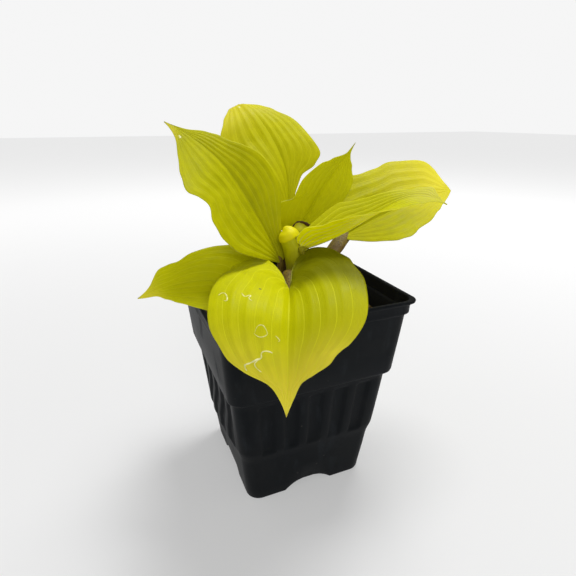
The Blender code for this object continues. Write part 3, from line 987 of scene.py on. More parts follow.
    def build(self) -> bpy.types.Object:
        """Build the pot as one closed shell with its underside.

        Returns:
            The pot.
        """
        outside, inside = self.levels()
        skirt = [PotLevel(self.underside_height, 38.1), PotLevel(1.0, 37.3, arch=5.3),
                 PotLevel(0.0, 37.2, arch=5.6)]
        rings = [self.ring(level) for level in outside + inside]
        under = [self.ring(level) for level in skirt]
        count = len(rings[0])
        vertices = np.concatenate(rings + under)
        faces = grid_faces(len(rings), count, closed=True)
        first = len(rings) * count
        faces += grid_faces(len(under), count, closed=True, offset=first)
        last = first + (len(under) - 1) * count
        for i in range(count):
            j = (i + 1) % count
            faces.append([last + i, last + j, j, i])
        inner = np.zeros(len(vertices))
        inner[len(outside) * count:] = 1.0
        faces.append([first - count + i for i in range(count)])
        faces.append([first + i for i in reversed(range(count))])
        pot = make_mesh("pot_shell", vertices, faces, {"inside": inner}, sharp_degrees=50.0)
        self.cut_drains(pot)
        place(pot, Slot.POT, self.material, "pot")
        return pot

    def cut_drains(self, pot: bpy.types.Object) -> None:
        """Cut the round drain holes through the bottom and join the middle pad.

        Args:
            pot: The pot's mesh object.
        """
        angles = circle_angles(self.round_sides)
        circle = np.stack([np.cos(angles), np.sin(angles)], axis=1)
        jobs = [((sx * self.drain_offset, sy * self.drain_offset), self.drain_radius,
                 self.drain_span, "DIFFERENCE") for sx in (-1, 1) for sy in (-1, 1)]
        jobs.append(((0.0, 0.0), self.pad_radius, self.pad_span, "UNION"))
        for centre, radius, span, operation in jobs:
            flat = circle * radius + np.asarray(centre)
            rings = [np.column_stack([flat, np.full(self.round_sides, height)]) for height in span]
            faces = capped_faces(2, self.round_sides)
            tool = make_mesh("pot_tool", np.concatenate(rings), faces)
            modifier = pot.modifiers.new(operation.lower(), "BOOLEAN")
            modifier.object = tool
            modifier.operation = operation
            modifier.solver = "EXACT"
            bpy.context.view_layer.update()
            graph = bpy.context.evaluated_depsgraph_get()
            mesh = bpy.data.meshes.new_from_object(pot.evaluated_get(graph))
            pot.modifiers.clear()
            pot.data = mesh
            bpy.data.objects.remove(tool, do_unlink=True)


# ------------------------------------------------------------------------------------ growing medium


@dataclass
class PottingMix:
    """The bark mix: an uneven top, its body and loose crumbs on it."""

    material: bpy.types.Material
    crumb_material: bpy.types.Material
    half: float = 51.2
    top: float = 103.5
    corner: float = 8.0
    steps: int = 144
    rows: int = 64
    crumbs: int = 1500
    seed: int = 7

    def height(self, x: np.ndarray, y: np.ndarray) -> np.ndarray:
        """Give the height of the top.

        Args:
            x: Positions along X.
            y: Positions along Y.

        Returns:
            Heights.
        """
        mound = 2.0 * np.exp(-(((x - 2.0) ** 2 + (y + 3.0) ** 2) / 900.0))
        waves = np.sin(x * 0.31 + 1.3) * np.cos(y * 0.27 - 0.6) + 0.6 * np.sin(x * 0.11 - y * 0.19)
        lumps = np.sin(x * 1.1 + 2.0 * np.sin(y * 0.7)) * np.sin(y * 1.3 + 1.5 * np.sin(x * 0.9))
        grit = np.sin(x * 3.1 + 1.7 * np.sin(y * 2.3)) * np.sin(y * 2.9 + 2.1 * np.sin(x * 2.7))
        corner = 4.5 * np.exp(-(((x - 47.0) / 8.0) ** 2 + ((y + 30.0) / 14.0) ** 2))
        return self.top + mound + corner + 0.7 * waves + 0.55 * lumps + 0.25 * grit

    def outline(self, half: float) -> np.ndarray:
        """Make a rounded square by angle.

        Args:
            half: Half-width.

        Returns:
            Points (x, y), one per row.
        """
        angle = circle_angles(self.steps)
        c, s = np.cos(angle), np.sin(angle)
        xy = np.stack([c, s], axis=1) * (half / np.maximum(np.abs(c), np.abs(s)))[:, None]
        flat = half - self.corner
        over = np.abs(xy) - flat
        both = (over > 0).all(axis=1)
        shrink = self.corner / np.maximum(np.linalg.norm(over, axis=1), 1e-9)
        rounded = np.sign(xy) * (flat + over * shrink[:, None])
        return np.where(both[:, None], rounded, xy)

    def build(self) -> None:
        """Build the medium and its crumbs."""
        rings = []
        for height, half in ((9.3, 38.0), (40.0, 41.5), (76.0, 45.8), (79.5, 48.9)):
            rings.append(np.column_stack([self.outline(half), np.full(self.steps, height)]))
        edge = self.outline(self.half)
        for share in np.linspace(1.0, 0.02, self.rows):
            xy = edge * share
            rings.append(np.column_stack([xy, self.height(xy[:, 0], xy[:, 1])]))
        faces = capped_faces(len(rings), self.steps)
        vertices = np.concatenate(rings)
        tone = 0.5 + 0.5 * np.sin(vertices[:, 0] * 0.9) * np.sin(vertices[:, 1] * 1.1)
        medium = make_mesh("mix_body", vertices, faces, {"tone": tone * 0.35})
        place(medium, Slot.MIX, self.material, "potting_mix")
        self.build_crumbs()

    def build_crumbs(self) -> None:
        """Scatter small angular crumbs over the top as one mesh."""
        rng = np.random.default_rng(self.seed)
        shape = np.array([(-1, -1, -1), (1, -1, -1), (1, 1, -1), (-1, 1, -1), (-1, -1, 1), (1, -1, 1),
                          (1, 1, 1), (-1, 1, 1)], float)
        quads = [(0, 3, 2, 1), (4, 5, 6, 7), (0, 1, 5, 4), (1, 2, 6, 5), (2, 3, 7, 6), (3, 0, 4, 7)]
        vertices, faces, tone = [], [], []
        for number in range(self.crumbs):
            x, y = rng.uniform(-self.half + 1.5, self.half - 1.5, 2)
            size = rng.gamma(4.0, 0.22) + 0.3
            scale = np.array([size * rng.uniform(0.9, 2.2), size * rng.uniform(0.7, 1.2),
                              size * rng.uniform(0.35, 0.7)])
            corners = shape * scale * rng.uniform(0.7, 1.15, (8, 3))
            turn, tilt = rng.uniform(0, 2 * math.pi), rng.uniform(-0.5, 0.5)
            ct, st, cl, sl = math.cos(turn), math.sin(turn), math.cos(tilt), math.sin(tilt)
            tilted = np.stack([corners[:, 0] * cl - corners[:, 2] * sl, corners[:, 1],
                               corners[:, 0] * sl + corners[:, 2] * cl], axis=1)
            turned = np.stack([tilted[:, 0] * ct - tilted[:, 1] * st,
                               tilted[:, 0] * st + tilted[:, 1] * ct, tilted[:, 2]], axis=1)
            level = float(self.height(np.array(x), np.array(y)))
            reach = 51.0 - np.abs(turned[:, :2]).max()
            x, y = float(np.clip(x, -reach, reach)), float(np.clip(y, -reach, reach))
            vertices.append(turned + np.array([x, y, level + 0.25 * scale[2]]))
            faces += [[8 * number + k for k in quad] for quad in quads]
            tone += [rng.beta(1.1, 2.2)] * 8
        crumbs = make_mesh("mix_crumbs", np.concatenate(vertices), faces, {"tone": np.array(tone)},
                           sharp_degrees=35.0)
        place(crumbs, Slot.MIX, self.crumb_material)


@dataclass
class BarkChips:
    """The larger loose bits of bark on the mix."""

    material: bpy.types.Material
    count: int = 6
    sides: int = 14
    rows: int = 7

    def build(self) -> None:
        """Build one split, fibrous chip inside the box of each bark chip."""
        for number in range(1, self.count + 1):
            low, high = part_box(f"bark_chip_{number}")
            centre = np.array((low + high) / 2) / MM
            half = np.array((high - low) / 2) / MM
            rings = []
            for row in range(self.rows):
                f = row / (self.rows - 1)
                size = 0.55 + 0.5 * math.sin(math.pi * (0.12 + 0.76 * f))
                ring = []
                for k in range(self.sides):
                    a = 2 * math.pi * k / self.sides
                    rag = 1.0 + 0.12 * math.sin(5 * a + number) + 0.07 * math.sin(9 * a + 2 * number)
                    lift = 0.16 * math.sin(3 * a + number + 2 * f)
                    ring.append((half[0] * math.cos(a) * rag * size, half[1] * math.sin(a) * rag * size,
                                 half[2] * (2 * f - 1 + lift)))
                rings.append(np.asarray(ring) + centre)
            faces = capped_faces(self.rows, self.sides)
            vertices = np.concatenate(rings)
            tone = np.full(len(vertices), 0.35 + 0.08 * number)
            chip = make_mesh(f"chip_{number}", vertices, faces, {"tone": tone}, sharp_degrees=45.0)
            place(chip, Slot.BARK, self.material, f"bark_chip_{number}")


@dataclass
class Rootstock:
    """The crown that all stalks rise from, with root lobes below."""

    material: bpy.types.Material
    sides: int = 96
    lobes: int = 7

    def build(self) -> None:
        """Build the rootstock with overlapping scale rims on its shoulder."""
        low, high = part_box("crown")
        middle = np.array((low + high) / 2) / MM
        reach = float((high.x - low.x) / 2 / MM)
        top, foot = float(high.z / MM), float(low.z / MM)
        shares = np.concatenate([np.linspace(0.0, 0.8, 16), np.linspace(0.82, 1.0, 14)])
        rings = []
        angle = circle_angles(self.sides)
        for share in shares:
            depth = 1.0 - share
            lobe = np.cos(self.lobes * angle + 0.4)
            rim = 0.03 * np.abs(np.sin(share * 60.0 + np.sin(3 * angle)))
            radius = reach * (1.0 - 0.52 * depth) * (0.95 + (0.03 + 0.20 * depth) * lobe + rim)
            radius *= 1.0 - 0.35 * max(0.0, (share - 0.95) / 0.05) ** 2
            z = foot + (top - foot) * share
            rings.append(np.column_stack([middle[0] + radius * np.cos(angle),
                                          middle[1] + radius * np.sin(angle),
                                          np.full(self.sides, z)]))
        faces = capped_faces(len(rings), self.sides)
        vertices = np.concatenate(rings)
        crown = make_mesh("rootstock", vertices, faces, {"tone": np.full(len(vertices), 0.5)})
        place(crown, Slot.ROOTSTOCK, self.material, "crown")


# ------------------------------------------------------------------------------------ leaves


@dataclass(frozen=True)
class Track:
    """A dried track or bit of grit: its line as (across, along) and its looks."""

    points: Sequence[Pair]
    half_width: float = 0.3
    faint: float = 0.0
    grit: float = 0.0


@dataclass
class Leaf:
    """One leaf: its midrib, facing, margins, fold, curl, waves and stalk."""

    name: str
    rib: Sequence[Point]
    face: Sequence[Point]
    left: Sequence[Pair]
    right: Sequence[Pair]
    fold: tuple[Pair, Pair]
    stalk: Sequence[Point]
    finish: BladeFinish
    stalk_finish: StalkFinish = StalkFinish()
    curl: tuple[Pair, Pair] = ((0.0, 0.0), (0.0, 0.0))
    wave: float = 0.8
    wave_count: float = 2.5
    wave_phase: float = 0.0
    nick: float = 0.35
    relief: float = 0.42
    ears: Pair = (0.0, 0.0)
    ear_place: float = 0.15
    ear_spread: float = 0.12
    wing: float = 1.0
    tracks: Sequence[Track] = ()
    thickness: float = 0.55
    intervals: int = 5
    rows: int = 121
    per_interval: int = 8
    base_half_width: float = 2.0
    tip_half_width: float = 0.15

    def margin(self, u: np.ndarray, v: np.ndarray, length: float) -> np.ndarray:
        """Find where each vein's line meets the margin, with small nicks near the edge.

        Args:
            u: Positions along the veins, 0 at the base and 1 at the tip.
            v: Positions across, -1 at the left margin and 1 at the right margin.
            length: Length of the midrib.

        Returns:
            Rows of distance across and distance along the midrib.
        """
        start, finish = [(self.base_half_width, 0.0)], [(self.tip_half_width, length)]
        left = spline(start + list(self.left) + finish, u)
        right = spline(start + list(self.right) + finish, u)
        edge = np.where((v < 0)[:, None], left, right)
        ragged = np.sin(u * 43 + 2 * np.sin(u * 17) + np.sign(v) + self.wave_phase)
        edge[:, 0] += self.nick * np.abs(v)**6 * np.sin(math.pi * np.clip(u, 0, 1)) * ragged
        return edge

    def bend(
        self, across: np.ndarray, share: np.ndarray, is_left: np.ndarray
    ) -> tuple[np.ndarray, np.ndarray]:
        """Fold and curl the two halves about the midrib.

        Args:
            across: Distance from the midrib, measured over the blade.
            share: Share of the midrib's length.
            is_left: Whether each point is on the left half.

        Returns:
            How far out to the side and how far above the midrib each point comes.
        """
        fold, curl = (
            np.where(is_left, left[0] + (left[1] - left[0]) * share,
                     right[0] + (right[1] - right[0]) * share)
            for left, right in (self.fold, self.curl)
        )
        fold, curl = np.radians(fold), np.radians(curl) / 10.0
        curl = np.where(np.abs(curl) < 1e-6, 1e-6, curl)
        fold = fold * (0.5 + 0.5 * np.minimum(across / 3.0, 1.0))
        out = (np.sin(fold + curl * across) - np.sin(fold)) / curl
        lift = (np.cos(fold) - np.cos(fold + curl * across)) / curl
        return out, lift

    def relief_height(self, u: np.ndarray, v: np.ndarray, half_width: np.ndarray) -> np.ndarray:
        """Give the waves, the raised ears of the base, the puffed ribs and the midrib groove.

        Args:
            u: Positions along the veins.
            v: Positions across.
            half_width: Distance from the midrib to the margin.

        Returns:
            Heights above the smooth blade.
        """
        reach, is_left = np.abs(v), v < 0
        swing = np.sin(2 * math.pi * (self.wave_count * u + self.wave_phase + 0.25 * is_left))
        height = self.wave * reach**2.2 * swing * np.sin(math.pi * np.clip(u, 0, 1))
        ear = np.where(is_left, self.ears[0], self.ears[1])
        height += ear * reach**1.5 * np.exp(-(((u - self.ear_place) / self.ear_spread) ** 2))
        puff = 1.0 - np.abs(np.cos(math.pi * self.intervals * reach)) ** 0.8
        wide = np.clip(half_width / self.intervals / 6.0, 0, 1.2)
        height += self.relief * puff * wide * (1 - 0.7 * reach**3)
        return height - 0.5 * np.exp(-((half_width * reach / 0.9) ** 2)) * (1 - u)

    def vein_gap(self, v: np.ndarray, half_width: np.ndarray) -> np.ndarray:
        """Measure how far each point lies from the nearest vein.

        Args:
            v: Positions across.
            half_width: Distance from the midrib to the margin.

        Returns:
            Distances, read smaller at the midrib and never zero along the margin.
        """
        reach = np.abs(v)
        phase = np.abs(self.intervals * reach - np.round(self.intervals * reach))
        gap = phase * np.maximum(half_width / self.intervals, 0.6)
        weight = np.where(reach < 0.5 / self.intervals, 0.6, 1.0)
        by_margin = reach > 1 - 0.5 / self.intervals
        return np.where(by_margin, np.maximum(gap, 0.15), gap * weight)

    def surface(self, u: np.ndarray, v: np.ndarray) -> tuple[np.ndarray, np.ndarray]:
        """Work out points on the middle surface of the blade.

        Args:
            u: Positions along the veins, 0 at the base and 1 at the tip.
            v: Positions across, -1 at the left margin and 1 at the right margin.

        Returns:
            The points and how far each lies from the nearest vein.
        """
        steps = np.linspace(0.0, 1.0, 241)
        line = spline(self.rib, steps)
        runs = np.concatenate([[0.0], np.cumsum(np.linalg.norm(np.diff(line, axis=0), axis=1))])
        length = runs[-1]
        reach, is_left = np.abs(v), v < 0
        edge = self.margin(u, v, length)
        across = edge[:, 0] * reach
        along = length * u * (1 - reach) + edge[:, 1] * reach
        where = np.interp(np.clip(along, 0, length), runs, steps)
        centre = spline(self.rib, where)
        ahead = unit(spline(self.rib, where + 0.01) - spline(self.rib, where - 0.01))
        share = np.clip(along / length, 0, 1)
        side = unit(np.cross(ahead, spline(self.face, share)))
        normal = np.cross(side, ahead)
        centre = centre + ahead * np.minimum(along, 0.0)[:, None]
        out, lift = self.bend(across, share, is_left)
        lift = lift + self.relief_height(u, v, edge[:, 0])
        points = centre + side * np.where(is_left, -out, out)[:, None] + normal * lift[:, None]
        return points, self.vein_gap(v, edge[:, 0])

    def grid(self) -> dict[str, np.ndarray]:
        """Sample the blade on a regular grid.

        Returns:
            Grids of the points and of the numbers that the shading reads.
        """
        columns = 2 * self.intervals * self.per_interval + 1
        ease = np.linspace(0, 1, self.rows)
        ease = ease + 0.06 * np.sin(-2 * math.pi * ease)
        u, v = np.meshgrid(ease, np.linspace(-1, 1, columns), indexing="ij")
        points, gap = self.surface(u.ravel(), v.ravel())
        return {"points": points.reshape(*u.shape, 3), "along": u, "across": v,
                "vein_distance": gap.reshape(u.shape)}

    def build(self, effects: Effects, blade_node: str, stalk_node: str) -> None:
        """Build the blade and its stalk.

        Args:
            effects: The shared node groups.
            blade_node: CAD node of the blade.
            stalk_node: CAD node of the stalk.
        """
        grid = self.grid()
        points = grid["points"]
        rows, columns = points.shape[:2]
        normal = unit(np.cross(np.gradient(points, axis=1), np.gradient(points, axis=0)))
        reach = np.abs(grid["across"])
        thick = self.thickness * (1.0 - 0.55 * reach**4)
        rib = 0.9 * np.exp(-((reach / 0.045) ** 2)) * (1 - 0.85 * grid["along"])
        top = points + normal * (thick / 2)[..., None]
        bottom = points - normal * (thick / 2 + rib)[..., None]
        count = rows * columns
        faces = grid_faces(rows, columns, closed=False)
        faces += grid_faces(rows, columns, closed=False, offset=count, flip=True)
        index = np.arange(count).reshape(rows, columns)
        loop = np.concatenate([index[0], index[1:, -1], index[-1, -2::-1], index[-2:0:-1, 0]]).tolist()
        faces += [[b, a, count + a, count + b] for a, b in zip(loop, loop[1:] + loop[:1])]
        attributes = {k: np.tile(grid[k].ravel(), 2) for k in ("along", "across", "vein_distance")}
        attributes["underside"] = np.repeat([0.0, 1.0], count)
        vertices = np.concatenate([top.reshape(-1, 3), bottom.reshape(-1, 3)])
        blade = make_mesh(f"blade_{self.name}", vertices, faces, attributes)
        place(blade, Slot.BLADE, self.finish.build(effects), blade_node)
        self.build_stalk(effects, stalk_node)
        if self.tracks:
            self.build_tracks(effects)

    def build_tracks(self, effects: Effects) -> None:
        """Build the raised dried tracks on the upper face.

        Args:
            effects: The shared node groups.
        """
        profile = np.array([(-1.0, -0.03), (-0.5, 0.10), (0.0, 0.14), (0.5, 0.10), (1.0, -0.03)])
        vertices, faces, faint, grit = [], [], [], []
        for number, track in enumerate(self.tracks):
            count = 12 * len(track.points)
            f = np.linspace(0, 1, count)
            v, u = spline(track.points, f).T
            middle, _ = self.surface(u, v)
            normal = unit(np.cross(self.surface(u, v + 0.004)[0] - middle,
                                   self.surface(u + 0.004, v)[0] - middle))
            side = unit(np.cross(normal, np.gradient(middle, axis=0)))
            width = track.half_width * (0.35 + 0.65 * np.sin(math.pi * f) ** 0.4)
            width = width * (1.0 + 0.35 * np.sin(f * 31 + number) * np.sin(f * 17 + 2 * number))
            base = middle + normal * (self.thickness / 2)
            ribbon = (base[:, None, :] + side[:, None, :] * (width[:, None] * profile[:, 0])[..., None]
                      + normal[:, None, :] * profile[None, :, 1:])
            faces += grid_faces(count, 5, closed=False, offset=sum(len(part) for part in vertices))
            vertices.append(ribbon.reshape(-1, 3))
            faint += [track.faint] * (5 * count)
            grit += [track.grit] * (5 * count)
        item = make_mesh(f"tracks_{self.name}", np.concatenate(vertices), faces,
                         {"faint": np.array(faint), "grit": np.array(grit)})
        place(item, Slot.BLADE, FilmFinish().build(effects))

    def build_stalk(self, effects: Effects, node: str) -> None:
        """Build the grooved stalk, which widens into the blade's base.

        Args:
            effects: The shared node groups.
            node: CAD node of the stalk.
        """
        rings, sides = 49, 28
        f = np.linspace(0, 1, rings)
        end = np.asarray(self.rib[0], float)
        ahead = unit(spline(self.rib, np.array([0.02])) - spline(self.rib, np.array([0.0])))[0]
        up_face = unit(np.cross(np.cross(ahead, np.asarray(self.face[0], float)), ahead))
        hidden = end + ahead * 4.0 - up_face * 1.6
        path = spline(list(self.stalk)[:-1] + [tuple(end - up_face * 0.6), tuple(hidden)], f)
        angle = circle_angles(sides)
        radius = np.interp(f, [0, 0.12, 0.5, 0.85, 1.0], [2.7, 2.35, 2.05, 1.8, 0.7])
        flare = 1.0 + (self.wing - 1.0) * smooth(f, 0.25, 0.7) * (1 - smooth(f, 0.9, 1.0))
        groove = 0.34 * np.exp(-(((angle - math.pi / 2) / 0.55) ** 2))
        across = np.cos(angle)[None, :] * radius[:, None] * flare[:, None]
        up = np.sin(angle)[None, :] * radius[:, None] * (1 - groove)[None, :]
        guide = np.cross(ahead, unit(np.asarray(self.face[0], float)))
        points = tube(path, np.stack([across, up], axis=-1), tuple(guide))
        points[0, :, 2] = self.stalk[0][2] - 0.6
        stalk = make_mesh(f"stalk_{self.name}", points.reshape(-1, 3), capped_faces(rings, sides),
                          {"along": np.repeat(f, sides)})
        place(stalk, Slot.STALK, self.stalk_finish.build(effects), node)


@dataclass
class FurledLeaf:
    """A young leaf still rolled around itself, with a hood at the top."""

    node: str
    path: Sequence[Point]
    radii: Sequence[float]
    hood_start: float
    hood_overhang: float
    seam_angle: float
    finish: FurledFinish
    rings: int = 97
    sides: int = 72

    def build(self, effects: Effects) -> None:
        """Build the rolled leaf.

        Args:
            effects: The shared node groups.
        """
        f = np.linspace(0, 1, self.rings)
        path = spline(self.path, f)
        knots = np.linspace(0, 1, len(self.radii))
        radius = np.interp(f, knots, self.radii)
        radius = np.convolve(np.pad(radius, 3, mode="edge"), np.ones(7) / 7, mode="valid")
        radius[-1] = 0.3
        angle = circle_angles(self.sides)
        turned = (angle - self.seam_angle) % (2 * math.pi)
        step = 1.0 + 0.10 * (turned / (2 * math.pi)) ** 0.7 - 0.05
        hood = smooth(f, self.hood_start - 0.012, self.hood_start + 0.012)
        over = 1.0 + self.hood_overhang * hood
        ribs = 1.0 + 0.015 * np.abs(np.sin(turned * 4.0))
        size = radius[:, None] * over[:, None] * np.where(hood[:, None] > 0.5, 1.0, step[None, :])
        size = size * ribs[None, :]
        profile = np.stack([np.cos(angle)[None, :] * size, np.sin(angle)[None, :] * size], axis=-1)
        points = tube(path, profile)
        points[0, :, 2] = self.path[0][2] - 0.6
        wrap = np.minimum(turned, 2 * math.pi - turned)
        seam = np.exp(-((wrap[None, :] * radius[:, None] / 0.45) ** 2)) * (1 - hood[:, None]) * 0.85
        pitch = np.abs(np.sin(turned * 4.0))[None, :] * radius[:, None] * 0.35
        shape = (self.rings, self.sides)
        attributes = {
            "along": np.broadcast_to(f[:, None], shape),
            "across": np.broadcast_to(turned[None, :] / math.pi - 1.0, shape),
            "vein_distance": np.broadcast_to(pitch, shape),
            "hood": np.broadcast_to(hood[:, None], shape),
            "seam": np.broadcast_to(seam, shape),
        }
        item = make_mesh(f"rolled_{self.node}", points.reshape(-1, 3), capped_faces(*shape),
                         {k: np.ascontiguousarray(a) for k, a in attributes.items()})
        place(item, Slot.BLADE, self.finish.build(effects), self.node)


@dataclass
class SheathRim:
    """The withered brown rim of the sheath around the bud."""

    material: bpy.types.Material
    path: Sequence[Point] = ((3.6, -1.0, 155.4), (4.9, -1.3, 158.0), (7.3, -1.3, 160.0),
                             (11.0, -1.4, 159.6), (14.3, -1.5, 157.8), (17.6, -1.6, 155.9))
    radii: Sequence[float] = (0.25, 0.4, 0.45, 0.75, 1.0, 0.3)
    rings: int = 40
    sides: int = 12

    def build(self) -> None:
        """Build the rim as a thin uneven roll."""
        f = np.linspace(0, 1, self.rings)
        radius = np.interp(f, np.linspace(0, 1, len(self.radii)), self.radii)
        radius = radius * (1 + 0.18 * np.sin(f * 37))
        angle = circle_angles(self.sides)
        profile = np.stack([0.6 * np.cos(angle)[None, :] * radius[:, None],
                            np.sin(angle)[None, :] * radius[:, None]], axis=-1)
        points = tube(spline(self.path, f), profile, (0.0, 1.0, 0.0))
        rim = make_mesh("sheath_rim", points.reshape(-1, 3), capped_faces(self.rings, self.sides),
                        {"tone": np.full(self.rings * self.sides, 0.3)})
        place(rim, Slot.STALK, self.material)


